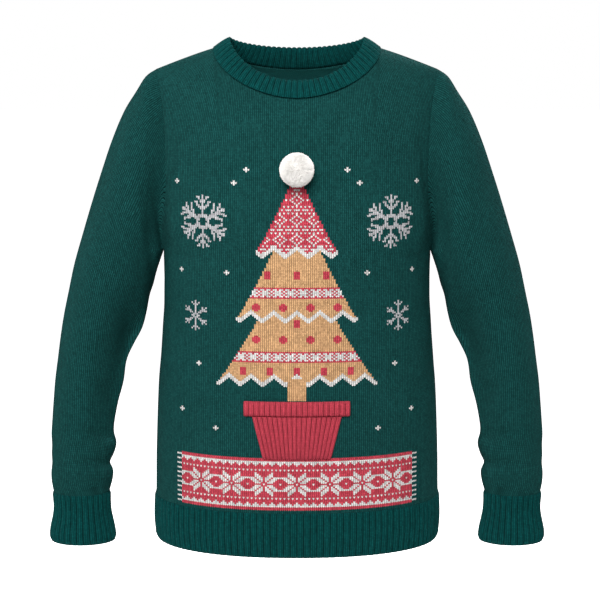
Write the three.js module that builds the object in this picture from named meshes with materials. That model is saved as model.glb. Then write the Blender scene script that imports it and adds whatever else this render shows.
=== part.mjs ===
// A knitted Christmas jumper, filled out as it hangs on a wearer's shoulders, with nobody in it.
// Front, back, two set-in sleeves, a folded neckband, ribbed hem and cuffs, and on the front
// a sewn-on ribbed plant pot with a turned rim and a pompom, which go with a knitted-in fir tree.
//
// Millimetres. X runs to the viewer's right, the front faces -Y and +Z is up. The origin is the
// middle of the neck opening, level with the shoulder line that rests on the wearer.
import * as THREE from 'three';
import { mergeVertices } from 'three/addons/utils/BufferGeometryUtils.js';

// Cloth
const seamGap = 0.3;
const knitThickness = 2.5;
const ribThickness = 2.8;
const ribRelief = 1.5;

// Shoulders and neck seam
const neckHalfWidth = 108.7;
const neckTopZ = 3.6;
const shoulderTipZ = -24.5;
const shoulderCurve = 1.12;
const frontNeckDrop = 64;
const backNeckDrop = 30;
const neckSeamCurve = { power: 1.85, root: 1.7 };

// Heights
const underarmZ = -270;
const ribTopZ = -608;
const hemBendZ = -656;
const hemZ = -670;

// Upper chest and back slope away towards the shoulder ridge over these heights.
const frontSlopeHeight = 240;
const backSlopeHeight = 200;

// Half width of the body at its side edge: side seam below the underarm, armhole seam above it.
const bodyEdge = [
  { z: -670, halfWidth: 196 },
  { z: -640, halfWidth: 198 },
  { z: -600, halfWidth: 196.5 },
  { z: -550, halfWidth: 195.5 },
  { z: -450, halfWidth: 191 },
  { z: -380, halfWidth: 185 },
  { z: -310, halfWidth: 181.5 },
  { z: -270, halfWidth: 182 },
  { z: -230, halfWidth: 178.5 },
  { z: -170, halfWidth: 174.5 },
  { z: -110, halfWidth: 175.5 },
  { z: -70, halfWidth: 179.5 },
  { z: -24.5, halfWidth: 188 },
];

// How far the body reaches forward and back of the side seams.
const bodyDepth = [
  { z: -670, front: 118, back: 114 },
  { z: -630, front: 121, back: 117 },
  { z: -560, front: 120, back: 114 },
  { z: -440, front: 115, back: 104 },
  { z: -330, front: 117, back: 105 },
  { z: -230, front: 119, back: 111 },
  { z: -120, front: 115, back: 113 },
  { z: 10, front: 110, back: 106 },
];
const bodySection = 2.2;

// The armhole opens to this half depth over its lowest stretch.
const armhole = { halfDepth: 56, roundHeight: 62 };

// Sleeve sections, from the shoulder to the cuff seam: the outer and inner edge of each one
// seen from the front, its half depth, and how far the arm hangs forward there.
const sleeveSections = [
  { outerX: 203.3, outerZ: -35, innerX: 183, innerZ: -272, halfDepth: 55, forward: 0 },
  { outerX: 215.7, outerZ: -54, innerX: 184, innerZ: -275, halfDepth: 58, forward: 1 },
  { outerX: 232.7, outerZ: -81, innerX: 185.5, innerZ: -279, halfDepth: 60, forward: 2 },
  { outerX: 249.7, outerZ: -120, innerX: 187.5, innerZ: -285, halfDepth: 60, forward: 3 },
  { outerX: 264.2, outerZ: -161, innerX: 190, innerZ: -293, halfDepth: 60, forward: 3 },
  { outerX: 278.2, outerZ: -203, innerX: 193, innerZ: -304, halfDepth: 59, forward: 3 },
  { outerX: 291.7, outerZ: -246, innerX: 197, innerZ: -317, halfDepth: 58, forward: 2 },
  { outerX: 304.1, outerZ: -287, innerX: 203, innerZ: -333, halfDepth: 57, forward: 1 },
  { outerX: 313.1, outerZ: -326, innerX: 208, innerZ: -355, halfDepth: 55, forward: 1 },
  { outerX: 320.1, outerZ: -358, innerX: 214, innerZ: -378, halfDepth: 53, forward: 2 },
  { outerX: 325.1, outerZ: -388, innerX: 226, innerZ: -401, halfDepth: 50, forward: 4 },
  { outerX: 329.1, outerZ: -418, innerX: 236.5, innerZ: -424, halfDepth: 48, forward: 7 },
  { outerX: 333.1, outerZ: -448, innerX: 241, innerZ: -452, halfDepth: 46, forward: 10 },
  { outerX: 335.6, outerZ: -478, innerX: 247, innerZ: -480, halfDepth: 43, forward: 14 },
  { outerX: 337.6, outerZ: -506, innerX: 252, innerZ: -507, halfDepth: 41, forward: 18 },
  { outerX: 338.6, outerZ: -522, innerX: 252.5, innerZ: -522, halfDepth: 39, forward: 20 },
  { outerX: 338.1, outerZ: -536, innerX: 249.5, innerZ: -536, halfDepth: 38, forward: 21 },
  { outerX: 338.6, outerZ: -549, innerX: 252.5, innerZ: -549, halfDepth: 36, forward: 22 },
  { outerX: 338.1, outerZ: -562, innerX: 258, innerZ: -562, halfDepth: 34, forward: 24 },
  { outerX: 339.5, outerZ: -575, innerX: 254, innerZ: -575, halfDepth: 34, forward: 25 },
  { outerX: 339, outerZ: -588, innerX: 255.5, innerZ: -588, halfDepth: 33, forward: 26 },
  { outerX: 336.5, outerZ: -602, innerX: 259.5, innerZ: -602, halfDepth: 30, forward: 27 },
];

// The sleeve's larger folds: soft troughs (negative) and rolls (positive) across the cloth, each
// from one place to another. Angles turn from the outer edge (0) over the front (90) to the inner
// edge (180) and the back (270).
const sleeveFolds = [
  { fromSection: 10.6, fromAngle: 196, toSection: 7.6, toAngle: 96, height: -7, width: 13 },
  { fromSection: 9.0, fromAngle: 205, toSection: 6.4, toAngle: 118, height: 5, width: 17 },
  { fromSection: 12.0, fromAngle: 190, toSection: 11.6, toAngle: 112, height: -3.5, width: 12 },
  { fromSection: 5.2, fromAngle: 172, toSection: 1.6, toAngle: 118, height: -5, width: 15 },
  { fromSection: 5.0, fromAngle: 188, toSection: 1.8, toAngle: 244, height: -5, width: 15 },
  { fromSection: 10.4, fromAngle: 170, toSection: 8.2, toAngle: 262, height: -5, width: 14 },
  { fromSection: 18.0, fromAngle: 185, toSection: 17.4, toAngle: 95, height: -2.5, width: 9 },
  { fromSection: 15.2, fromAngle: 178, toSection: 14.2, toAngle: 84, height: -2.5, width: 11 },
  { fromSection: 18.2, fromAngle: 175, toSection: 17.2, toAngle: 275, height: -2.5, width: 9 },
  { fromSection: 14.6, fromAngle: 182, toSection: 15.6, toAngle: 280, height: -2.5, width: 11 },
];

// Millimetres along the sleeve per section and around it per degree, and how much of half a sine
// wave is left off at each end of a fold as it fades.
const foldScale = { perSection: 27, perDegree: 0.87, endShare: 0.15 };

// Cuff sections, from its seam to its edge.
const cuffSections = [
  { outerX: 336.5, outerZ: -602, innerX: 259.5, innerZ: -602, halfDepth: 30, forward: 27 },
  { outerX: 335.5, outerZ: -628, innerX: 259, innerZ: -628, halfDepth: 29, forward: 28 },
  { outerX: 341, outerZ: -657, innerX: 253.5, innerZ: -657, halfDepth: 32.5, forward: 29 },
  { outerX: 341, outerZ: -670.5, innerX: 252.5, innerZ: -670.5, halfDepth: 33, forward: 29 },
];

// Ribs
const hemRibs = 58;
const cuffRibs = 30;
const neckRibs = 74;

// Folded neckband: its upper edge stands inside the seam, and lower at the front than at the back.
const neckband = {
  topScaleX: 0.836,
  topScaleY: 0.85,
  topZ: 16.5,
  frontDrop: 57.5,
  backDrop: 14.5,
  curve: { power: 2.1, root: 1.5 },
};

// The band's section, up its outer side and down its inner one: up is a share of its height, out
// is millimetres outside the line from seam to edge, and ribs is the share of the ribs' relief.
const neckbandSection = [
  { up: 0, out: 1, ribs: 0 },
  { up: 0.22, out: 1.6, ribs: 1 },
  { up: 0.78, out: 1.6, ribs: 0.9 },
  { up: 1, out: 0.5, ribs: 0.5 },
  { up: 1, out: -2, ribs: 0 },
  { up: 0.82, out: -3.4, ribs: 0 },
  { up: 0, out: -3.4, ribs: 0 },
];

// Sewn-on pieces on the front, as heights and half widths on the body.
const potRim = { topZ: -457, bottomZ: -477, halfWidth: 70, ribs: 20, thickness: 4.6 };

// Rows up the turned rim: share of its height, share of the ribs' relief, and how far the folded
// edge falls back.
const rimRows = [
  { share: 0, ribs: 0.4, dip: 1.8 },
  { share: 0.16, ribs: 0.9, dip: 0 },
  { share: 0.84, ribs: 0.9, dip: 0 },
  { share: 1, ribs: 0.4, dip: 1.8 },
];
const pot = {
  topZ: potRim.bottomZ - seamGap,
  bottomZ: -533.5,
  topHalf: 59,
  bottomHalf: 45,
  ribs: 18,
  ribShare: 0.9,
  thickness: 2.4,
};
const pompom = { z: -155, radius: 23, core: 19, flatten: 0.86, detail: 2 };

// Grids
const neckColumns = 7;
const shoulderColumns = 6;
const potRows = 3;
const lowerRows = 6;
const upperRows = 10;
const sleeveColumns = upperRows * 2;

const degrees = Math.PI / 180;

// A smooth curve through a table's rows, by the slope between each row's neighbours.
function curveThrough(rows, along, column) {
  const knots = rows.map((row) => row[along]);
  const values = rows.map((row) => row[column]);
  const slopes = values.map((_, i) => {
    const before = Math.max(i - 1, 0);
    const after = Math.min(i + 1, values.length - 1);
    return (values[after] - values[before]) / (knots[after] - knots[before]);
  });
  return (at) => {
    const place = Math.min(Math.max(at, knots[0]), knots[knots.length - 1]);
    let i = 0;
    while (i < knots.length - 2 && place > knots[i + 1]) i += 1;
    const span = knots[i + 1] - knots[i];
    const t = (place - knots[i]) / span;
    const t2 = t * t;
    const t3 = t2 * t;
    return (
      values[i] * (2 * t3 - 3 * t2 + 1) +
      values[i + 1] * (3 * t2 - 2 * t3) +
      slopes[i] * span * (t3 - 2 * t2 + t) +
      slopes[i + 1] * span * (t3 - t2)
    );
  };
}

const edgeHalfWidth = curveThrough(bodyEdge, 'z', 'halfWidth');
const frontDepth = curveThrough(bodyDepth, 'z', 'front');
const backDepth = curveThrough(bodyDepth, 'z', 'back');
const shoulderHalfWidth = edgeHalfWidth(shoulderTipZ);

// 1 in the middle and 0 at the edge, as a rounded curve.
function dome(share, power, root) {
  return Math.pow(Math.max(0, 1 - Math.pow(Math.min(1, Math.abs(share)), power)), 1 / root);
}

// Height of the shoulder ridge. Over the neck hole it stays level.
function ridgeZ(x) {
  const out = Math.max(0, Math.abs(x) - neckHalfWidth) / (shoulderHalfWidth - neckHalfWidth);
  return neckTopZ + (shoulderTipZ - neckTopZ) * Math.pow(out, shoulderCurve);
}

function neckSeamZ(x, drop) {
  return neckTopZ - drop * dome(x / neckHalfWidth, neckSeamCurve.power, neckSeamCurve.root);
}

// 0 on the shoulder ridge, growing to 1 where the chest or back is full.
function slopeShare(x, z, slopeHeight) {
  const down = Math.min(1, Math.max(0, (ridgeZ(x) - z) / slopeHeight));
  return Math.sqrt(1 - (1 - down) * (1 - down));
}

function armholeHalfDepth(z) {
  if (z <= underarmZ) return 0;
  const up = Math.min(1, (z - underarmZ) / armhole.roundHeight);
  return armhole.halfDepth * Math.sqrt(1 - (1 - up) * (1 - up));
}

// A point of the body's cloth. side is -1 at the front and 1 at the back, and across runs from
// -1 to 1 between the side edges, where the armhole keeps the cloth open.
function bodyPoint(side, across, z) {
  const x = across * edgeHalfWidth(z);
  const depth = side < 0 ? frontDepth(z) : backDepth(z);
  const slope = slopeShare(x, z, side < 0 ? frontSlopeHeight : backSlopeHeight);
  const open = Math.pow(armholeHalfDepth(z) / depth, bodySection);
  const round = 1 - Math.pow(Math.abs(across), bodySection) * (1 - open);
  return new THREE.Vector3(x, side * slope * depth * Math.pow(Math.max(0, round), 1 / bodySection), z);
}

// Top end of a column of the front or back panel: the neck seam or the shoulder seam.
function columnTopZ(side, across) {
  const drop = side < 0 ? frontNeckDrop : backNeckDrop;
  let z = neckTopZ;
  for (let pass = 0; pass < 12; pass += 1) {
    const x = across * edgeHalfWidth(z);
    z = Math.abs(x) < neckHalfWidth ? neckSeamZ(x, drop) : ridgeZ(x);
  }
  return z;
}

// A closed solid from triangles over a list of points.
function solidFrom(points, triangles) {
  const geometry = new THREE.BufferGeometry();
  const numbers = points.flatMap((p) => [p.x, p.y, p.z]);
  geometry.setAttribute('position', new THREE.Float32BufferAttribute(numbers, 3));
  geometry.setIndex(triangles.flat());
  const merged = mergeVertices(geometry, 1e-4);
  merged.computeVertexNormals();
  return merged;
}

// The way a grid of points faces at each of its points. Edges that meet a neighbour are turned
// square to the direction that flatten gives, so that both sides of a seam stay clear.
function gridNormals(grid, closed, facing, flatten) {
  const rows = grid.length;
  const columns = grid[0].length;
  return grid.map((row, i) =>
    row.map((_, j) => {
      const left = closed ? (j + columns - 1) % columns : Math.max(j - 1, 0);
      const right = closed ? (j + 1) % columns : Math.min(j + 1, columns - 1);
      const sideways = row[right].clone().sub(row[left]);
      const upwards = grid[Math.min(i + 1, rows - 1)][j].clone().sub(grid[Math.max(i - 1, 0)][j]);
      const normal = sideways.cross(upwards).normalize().multiplyScalar(facing);
      const along = flatten(i, j);
      if (along) normal.addScaledVector(along, -normal.dot(along)).normalize();
      return normal;
    }),
  );
}

// A wall of cloth over a grid of points: the outer face is raised by relief, the inner one lies
// the thickness below the grid. closed joins the last column to the first.
function clothWall(grid, { thickness, closed = false, facing = 1, relief = () => 0, flatten = () => null }) {
  const rows = grid.length;
  const columns = grid[0].length;
  const normals = gridNormals(grid, closed, facing, flatten);
  const outer = grid.map((row, i) => row.map((p, j) => p.clone().addScaledVector(normals[i][j], relief(i, j))));
  const inner = grid.map((row, i) => row.map((p, j) => p.clone().addScaledVector(normals[i][j], -thickness)));
  const points = [...outer.flat(), ...inner.flat()];
  const at = (layer, i, j) => layer * rows * columns + i * columns + (j % columns);
  const triangles = [];
  const quad = (a, b, c, d) => {
    const turned = facing > 0 ? [[a, b, c], [a, c, d]] : [[a, c, b], [a, d, c]];
    triangles.push(...turned);
  };
  const spans = closed ? columns : columns - 1;
  for (let i = 0; i < rows - 1; i += 1) {
    for (let j = 0; j < spans; j += 1) {
      quad(at(0, i, j), at(0, i, j + 1), at(0, i + 1, j + 1), at(0, i + 1, j));
      quad(at(1, i, j), at(1, i + 1, j), at(1, i + 1, j + 1), at(1, i, j + 1));
    }
  }
  for (let j = 0; j < spans; j += 1) {
    quad(at(1, 0, j), at(1, 0, j + 1), at(0, 0, j + 1), at(0, 0, j));
    quad(at(0, rows - 1, j), at(0, rows - 1, j + 1), at(1, rows - 1, j + 1), at(1, rows - 1, j));
  }
  if (!closed) {
    for (let i = 0; i < rows - 1; i += 1) {
      const last = columns - 1;
      quad(at(1, i, 0), at(0, i, 0), at(0, i + 1, 0), at(1, i + 1, 0));
      quad(at(0, i, last), at(1, i, last), at(1, i + 1, last), at(0, i + 1, last));
    }
  }
  return solidFrom(points, triangles);
}

const alongY = new THREE.Vector3(0, 1, 0);
const alongZ = new THREE.Vector3(0, 0, 1);

// Places across a panel: the neck hole's columns follow its curve, the rest follow the side's.
function panelAcross() {
  const neckShare = neckHalfWidth / shoulderHalfWidth;
  const neckAngle = Math.asin(neckShare);
  const half = [];
  for (let j = 0; j < neckColumns; j += 1) {
    half.push(neckShare * Math.sin((j / neckColumns) * 90 * degrees));
  }
  for (let j = 0; j <= shoulderColumns; j += 1) {
    half.push(Math.sin(neckAngle + (j / shoulderColumns) * (90 * degrees - neckAngle)));
  }
  return [...half.slice(1).reverse().map((across) => -across), ...half];
}

// Points of the front or back, from the rib seam up to the shoulder and neck seams.
function panelGrid(side) {
  const acrosses = panelAcross();
  const bottomZ = ribTopZ + seamGap / 2;
  const grid = [];
  for (let i = 0; i <= lowerRows; i += 1) {
    const z = bottomZ + (underarmZ - bottomZ) * (i / lowerRows);
    grid.push(acrosses.map((across) => bodyPoint(side, across, z)));
  }
  for (let i = 1; i <= upperRows; i += 1) {
    const share = (1 - Math.cos((i / upperRows) * 180 * degrees)) / 2;
    grid.push(
      acrosses.map((across) => {
        const z = underarmZ + (columnTopZ(side, across) - underarmZ) * share;
        return bodyPoint(side, across, z);
      }),
    );
  }
  grid.flat().forEach((p) => {
    p.y += (side * seamGap) / 2;
  });
  return grid;
}

const frontGrid = panelGrid(-1);
const backGrid = panelGrid(1);

function panelSolid(grid, side) {
  const lastRow = grid.length - 1;
  const lastColumn = grid[0].length - 1;
  const overShoulder = (j) => Math.abs(j - lastColumn / 2) >= neckColumns;
  return clothWall(grid, {
    thickness: knitThickness,
    facing: -side,
    flatten: (i, j) => {
      if (j === 0 || j === lastColumn || (i === lastRow && overShoulder(j))) return alongY;
      return i === 0 ? alongZ : null;
    },
  });
}

// A point on the front panel's own faces at a place seen from the front, and how it faces there.
function frontPoint(x, z) {
  const middle = (frontGrid[0].length - 1) / 2;
  let i = 0;
  while (i < frontGrid.length - 2 && z > frontGrid[i + 1][middle].z) i += 1;
  const [lower, upper] = [frontGrid[i], frontGrid[i + 1]];
  const up = (z - lower[middle].z) / (upper[middle].z - lower[middle].z);
  const between = lower.map((p, j) => p.clone().lerp(upper[j], up));
  let j = 0;
  while (j < between.length - 2 && x > between[j + 1].x) j += 1;
  return between[j].clone().lerp(between[j + 1], (x - between[j].x) / (between[j + 1].x - between[j].x));
}

function frontNormal(x, z) {
  const step = 5;
  const sideways = frontPoint(x + step, z).sub(frontPoint(x - step, z));
  const upwards = frontPoint(x, z + step).sub(frontPoint(x, z - step));
  return sideways.cross(upwards).normalize();
}

// Ribs as a zigzag: every other point is raised.
const ribHeight = (j) => (j % 2 === 1 ? ribRelief : 0);

// Hem rib below a panel.
function hemSolid(side) {
  const heights = [hemZ, hemBendZ, ribTopZ - seamGap / 2];
  const points = hemRibs * 2;
  const grid = heights.map((z) =>
    Array.from({ length: points + 1 }, (_, j) => {
      const across = Math.sin((j / points - 0.5) * 180 * degrees);
      const p = bodyPoint(side, across, z);
      p.y += (side * seamGap) / 2;
      return p;
    }),
  );
  return clothWall(evenColumns(grid), {
    thickness: ribThickness,
    facing: -side,
    relief: (i, j) => ribHeight(j),
    flatten: (i, j) => (j === 0 || j === points ? alongY : alongZ),
  });
}

// Spreads each row's points evenly along it, so that all ribs are as wide.
function evenColumns(grid) {
  return grid.map((row) => {
    const curve = new THREE.CatmullRomCurve3(row, false, 'centripetal');
    curve.arcLengthDivisions = 600;
    return row.map((_, j) => curve.getPointAt(j / (row.length - 1)));
  });
}

// Sleeves are worked out on the +X side. The first ring lies on the armhole seam.
function armholePoint(angle) {
  const middleZ = (shoulderTipZ + underarmZ) / 2;
  const halfHeight = (shoulderTipZ - underarmZ) / 2;
  const z = middleZ + halfHeight * Math.cos(angle);
  const side = Math.sin(angle) >= 0 ? -1 : 1;
  const p = bodyPoint(side, 1, z);
  p.x += seamGap;
  return p;
}

function sectionPoint(section, angle) {
  const outer = new THREE.Vector3(section.outerX, -section.forward, section.outerZ);
  const inner = new THREE.Vector3(section.innerX, -section.forward, section.innerZ);
  const centre = outer.clone().add(inner).multiplyScalar(0.5);
  const reach = outer.sub(inner).multiplyScalar(0.5);
  const p = centre.addScaledVector(reach, Math.cos(angle));
  p.y -= section.halfDepth * Math.sin(angle);
  return p;
}

// Height of all folds at a place on the sleeve. Distances along and around are in millimetres.
function foldHeight(section, angle) {
  const { perSection, perDegree, endShare } = foldScale;
  return sleeveFolds.reduce((sum, fold) => {
    const turn = ((angle / degrees) % 360 + 360) % 360;
    const at = [section * perSection, turn * perDegree];
    const from = [fold.fromSection * perSection, fold.fromAngle * perDegree];
    const to = [fold.toSection * perSection, fold.toAngle * perDegree];
    const run = [to[0] - from[0], to[1] - from[1]];
    const length2 = run[0] * run[0] + run[1] * run[1];
    const share = ((at[0] - from[0]) * run[0] + (at[1] - from[1]) * run[1]) / length2;
    const held = Math.min(1, Math.max(0, share));
    const away = Math.hypot(at[0] - from[0] - held * run[0], at[1] - from[1] - held * run[1]);
    const fade = Math.sin(Math.PI * (endShare + (1 - 2 * endShare) * held));
    return sum + fold.height * fade * Math.exp(-(away * away) / (fold.width * fold.width));
  }, 0);
}

function ringAngles(count) {
  return Array.from({ length: count }, (_, j) => (j / count) * 360 * degrees);
}

// Turns +X side points to the other side when mirror is true.
function onSide(grid, mirror) {
  if (mirror) grid.flat().forEach((p) => p.set(-p.x, p.y, p.z));
  return grid;
}

function sleeveSolid(mirror) {
  const angles = ringAngles(sleeveColumns);
  const plain = [
    angles.map(armholePoint),
    ...sleeveSections.map((section) => angles.map((angle) => sectionPoint(section, angle))),
  ];
  const last = plain.length - 1;
  plain[last].forEach((p) => {
    p.z += seamGap / 2;
  });
  const normals = gridNormals(plain, true, 1, () => null);
  const grid = plain.map((ring, i) =>
    ring.map((p, j) => {
      const height = i === 0 || i === last ? 0 : foldHeight(i - 1, angles[j]);
      return p.clone().addScaledVector(normals[i][j], height);
    }),
  );
  const alongX = new THREE.Vector3(1, 0, 0);
  return clothWall(onSide(grid, mirror), {
    thickness: knitThickness,
    closed: true,
    facing: mirror ? -1 : 1,
    flatten: (i) => {
      if (i === 0) return alongX;
      return i === last ? alongZ : null;
    },
  });
}

function cuffSolid(mirror) {
  const angles = ringAngles(cuffRibs * 2);
  const grid = cuffSections.map((section) => angles.map((angle) => sectionPoint(section, angle)));
  grid[0].forEach((p) => {
    p.z -= seamGap / 2;
  });
  return clothWall(onSide(grid, mirror), {
    thickness: ribThickness,
    closed: true,
    facing: mirror ? -1 : 1,
    relief: (i, j) => ribHeight(j),
    flatten: () => alongZ,
  });
}

// The neck seam as it runs along the top edges of both panels, once round from +X over the front.
function neckSeam() {
  const topOf = (grid) => grid[grid.length - 1];
  const middle = (frontGrid[0].length - 1) / 2;
  const hole = (row) => row.slice(middle - neckColumns, middle + neckColumns + 1);
  const front = hole(topOf(frontGrid)).reverse();
  const back = hole(topOf(backGrid));
  const path = new THREE.CurvePath();
  const stops = [...front, ...back, front[0]];
  stops.slice(1).forEach((stop, i) => path.add(new THREE.LineCurve3(stops[i], stop)));
  return path;
}

// Upper edge of the neckband above a point of its seam.
function neckTopPoint(seam) {
  const front = seam.y < 0;
  const drop = front ? neckband.frontDrop : neckband.backDrop;
  const { power, root } = neckband.curve;
  const z = neckband.topZ - drop * dome(seam.x / neckHalfWidth, power, root);
  return new THREE.Vector3(seam.x * neckband.topScaleX, seam.y * neckband.topScaleY, z);
}

// The folded band: a closed section carried round the neck, ribbed on its outer face.
function neckbandSolid() {
  const count = neckRibs * 2;
  const seam = neckSeam();
  const foot = Array.from({ length: count }, (_, j) => seam.getPointAt(j / count));
  const top = foot.map(neckTopPoint);
  const footGap = seamGap * 2;
  const rings = foot.map((_, j) => {
    const next = (j + 1) % count;
    const before = (j + count - 1) % count;
    const up = top[j].clone().sub(foot[j]);
    const height = up.length();
    up.normalize();
    const round = foot[next].clone().sub(foot[before]);
    const out = round.cross(up).normalize();
    const raised = j % 2 === 1 ? ribRelief : 0;
    return neckbandSection.map((place) =>
      foot[j]
        .clone()
        .addScaledVector(up, Math.max(footGap, height * place.up))
        .addScaledVector(out, place.out + raised * place.ribs),
    );
  });
  const sides = rings[0].length;
  const triangles = [];
  rings.forEach((_, j) => {
    const next = (j + 1) % count;
    for (let k = 0; k < sides; k += 1) {
      const above = (k + 1) % sides;
      const [a, b, c, d] = [j * sides + k, next * sides + k, next * sides + above, j * sides + above];
      triangles.push([a, b, c], [a, c, d]);
    }
  });
  return solidFrom(rings.flat(), triangles);
}

// A ribbed piece lying on the front: rows of points on its surface, moved out by the seam gap.
function patchSolid(rows, halfWidthAt, ribs, thickness, relief) {
  const points = ribs * 2;
  const grid = rows.map((z) =>
    Array.from({ length: points + 1 }, (_, j) => {
      const x = halfWidthAt(z) * (j / ribs - 1);
      return frontPoint(x, z).addScaledVector(frontNormal(x, z), seamGap + thickness);
    }),
  );
  return clothWall(grid, { thickness, facing: 1, relief });
}

function potSolid() {
  const height = pot.topZ - pot.bottomZ;
  const rows = Array.from({ length: potRows + 1 }, (_, i) => pot.bottomZ + (height * i) / potRows);
  const halfWidthAt = (z) => {
    const share = (z - pot.bottomZ) / height;
    return pot.bottomHalf + (pot.topHalf - pot.bottomHalf) * share;
  };
  return patchSolid(rows, halfWidthAt, pot.ribs, pot.thickness, (i, j) => ribHeight(j) * pot.ribShare);
}

// The turned rim is a folded strip, so its section is round along the upper and lower edge.
function potRimSolid() {
  const height = potRim.topZ - potRim.bottomZ;
  const rows = rimRows.map((row) => potRim.bottomZ + height * row.share);
  const relief = (i, j) => ribHeight(j) * rimRows[i].ribs - rimRows[i].dip;
  return patchSolid(rows, () => potRim.halfWidth, potRim.ribs, potRim.thickness, relief);
}

// A round pompom: each face of the core carries one three-sided lock of yarn.
function pompomSolid() {
  const core = new THREE.IcosahedronGeometry(pompom.core, pompom.detail);
  const corners = core.getAttribute('position');
  const points = [];
  const triangles = [];
  for (let face = 0; face < corners.count; face += 3) {
    const [a, b, c] = [0, 1, 2].map((k) => new THREE.Vector3().fromBufferAttribute(corners, face + k));
    const tip = a.clone().add(b).add(c).normalize().multiplyScalar(pompom.radius);
    const first = points.length;
    points.push(a, b, c, tip);
    [0, 1, 2].forEach((k) => triangles.push([first + k, first + ((k + 1) % 3), first + 3]));
  }
  return solidFrom(points, triangles);
}

const greenWool = new THREE.MeshStandardMaterial({ color: 0x1e4c4a, roughness: 0.9, metalness: 0 });
const redWool = new THREE.MeshStandardMaterial({ color: 0xb83f50, roughness: 0.9, metalness: 0 });
const whitePile = new THREE.MeshStandardMaterial({ color: 0xf1efec, roughness: 0.95, metalness: 0 });

const jumper = new THREE.Group();

function addPiece(name, geometry, material) {
  const piece = new THREE.Mesh(geometry, material);
  piece.name = name;
  jumper.add(piece);
  return piece;
}

addPiece('front_panel', panelSolid(frontGrid, -1), greenWool);
addPiece('back_panel', panelSolid(backGrid, 1), greenWool);
addPiece('hem_rib_front', hemSolid(-1), greenWool);
addPiece('hem_rib_back', hemSolid(1), greenWool);
addPiece('sleeve_right', sleeveSolid(false), greenWool);
addPiece('sleeve_left', sleeveSolid(true), greenWool);
addPiece('cuff_right', cuffSolid(false), greenWool);
addPiece('cuff_left', cuffSolid(true), greenWool);
addPiece('neckband', neckbandSolid(), greenWool);
addPiece('pot_patch', potSolid(), redWool);
addPiece('pot_rim', potRimSolid(), redWool);

const pompomPiece = addPiece('pompom', pompomSolid(), whitePile);
const pompomFacing = frontNormal(0, pompom.z);
const pompomReach = pompomFacing.clone().multiply(new THREE.Vector3(1, pompom.flatten, 1));
const pompomOut = pompom.radius * pompomReach.length() + seamGap;
pompomPiece.scale.set(1, pompom.flatten, 1);
pompomPiece.position.copy(frontPoint(0, pompom.z).addScaledVector(pompomFacing, pompomOut));

export default jumper;
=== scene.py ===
import math
from functools import partial
from itertools import pairwise
import bpy
import numpy as np
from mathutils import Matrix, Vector


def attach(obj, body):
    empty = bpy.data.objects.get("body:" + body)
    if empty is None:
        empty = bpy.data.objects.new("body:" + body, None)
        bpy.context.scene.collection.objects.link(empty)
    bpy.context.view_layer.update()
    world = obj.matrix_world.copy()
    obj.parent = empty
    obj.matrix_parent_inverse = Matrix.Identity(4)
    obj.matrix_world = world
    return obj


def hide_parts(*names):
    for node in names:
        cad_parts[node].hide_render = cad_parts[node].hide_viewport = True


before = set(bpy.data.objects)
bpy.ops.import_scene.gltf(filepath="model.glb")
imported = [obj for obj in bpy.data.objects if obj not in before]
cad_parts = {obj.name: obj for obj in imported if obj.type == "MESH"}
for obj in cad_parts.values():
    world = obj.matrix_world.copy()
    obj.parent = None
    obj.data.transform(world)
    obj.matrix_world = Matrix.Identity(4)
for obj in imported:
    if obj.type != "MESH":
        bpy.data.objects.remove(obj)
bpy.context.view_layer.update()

# A knitted Christmas jumper, filled out as on a wearer. Tables are in millimetres, meshes in metres.
# X runs to the viewer's right, the front faces -Y, and the origin is the middle of the neck opening.
millimetre = 0.001


def fromScreen(*colour):
    # A colour read off a screen, 0 to 255, as linear light
    def linear(value):
        value = value / 255
        return value / 12.92 if value <= 0.04045 else ((value + 0.055) / 1.055) ** 2.4
    return tuple(linear(value) for value in colour) + (1.0,)


yarns = {
    "green": fromScreen(27, 81, 79),
    "red": fromScreen(222, 79, 96),
    "camel": fromScreen(238, 187, 136),
    "grey": fromScreen(212, 211, 214),
    "white": fromScreen(250, 247, 244),
}

stitch = {"wale": 2.74, "course": 2.13}  # the fine knit, width and height of one stitch
seamClearance = 0.06                     # between neighbouring pieces, so that no dark line shows


# Curves and lines

def curveThrough(knots, values, at):
    # Smooth curve by the slope between each row's neighbours; values may be points
    knots, values, at = np.asarray(knots, float), np.asarray(values, float), np.asarray(at, float)
    before = np.maximum(np.arange(len(knots)) - 1, 0)
    after = np.minimum(np.arange(len(knots)) + 1, len(knots) - 1)
    more = (Ellipsis,) + (None,) * (values.ndim - 1)
    slopes = (values[after] - values[before]) / (knots[after] - knots[before])[more]
    place = np.clip(at, knots[0], knots[-1])
    i = np.clip(np.searchsorted(knots, place, side="right") - 1, 0, len(knots) - 2)
    span = (knots[i + 1] - knots[i])[more]
    t = (place - knots[i])[more] / span
    return (
        values[i] * (2 * t**3 - 3 * t**2 + 1)
        + values[i + 1] * (3 * t**2 - 2 * t**3)
        + slopes[i] * span * (t**3 - 2 * t**2 + t)
        + slopes[i + 1] * span * (t**3 - t**2)
    )


def crease(u, v, lines):
    # Soft troughs and ridges: each line runs from one place to another, and fades at its ends
    total = np.zeros(np.broadcast(u, v).shape)
    for u0, v0, u1, v1, height, width in lines:
        du, dv = u1 - u0, v1 - v0
        share = np.clip(((u - u0) * du + (v - v0) * dv) / (du * du + dv * dv), 0, 1)
        away = np.hypot(u - u0 - share * du, v - v0 - share * dv)
        total += height * np.sin(np.pi * (0.15 + 0.7 * share)) * np.exp(-((away / width) ** 2))
    return total


def unit(vectors):
    return vectors / np.maximum(np.linalg.norm(vectors, axis=-1, keepdims=True), 1e-9)


def runLength(grid, axis):
    # Distance along the rows (axis 1), or along the columns or a line of points (axis 0), from 0
    steps = np.linalg.norm(np.diff(grid, axis=axis), axis=-1)
    start = np.zeros_like(np.take(steps, [0], axis))
    return np.concatenate([start, np.cumsum(steps, axis)], axis)


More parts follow.
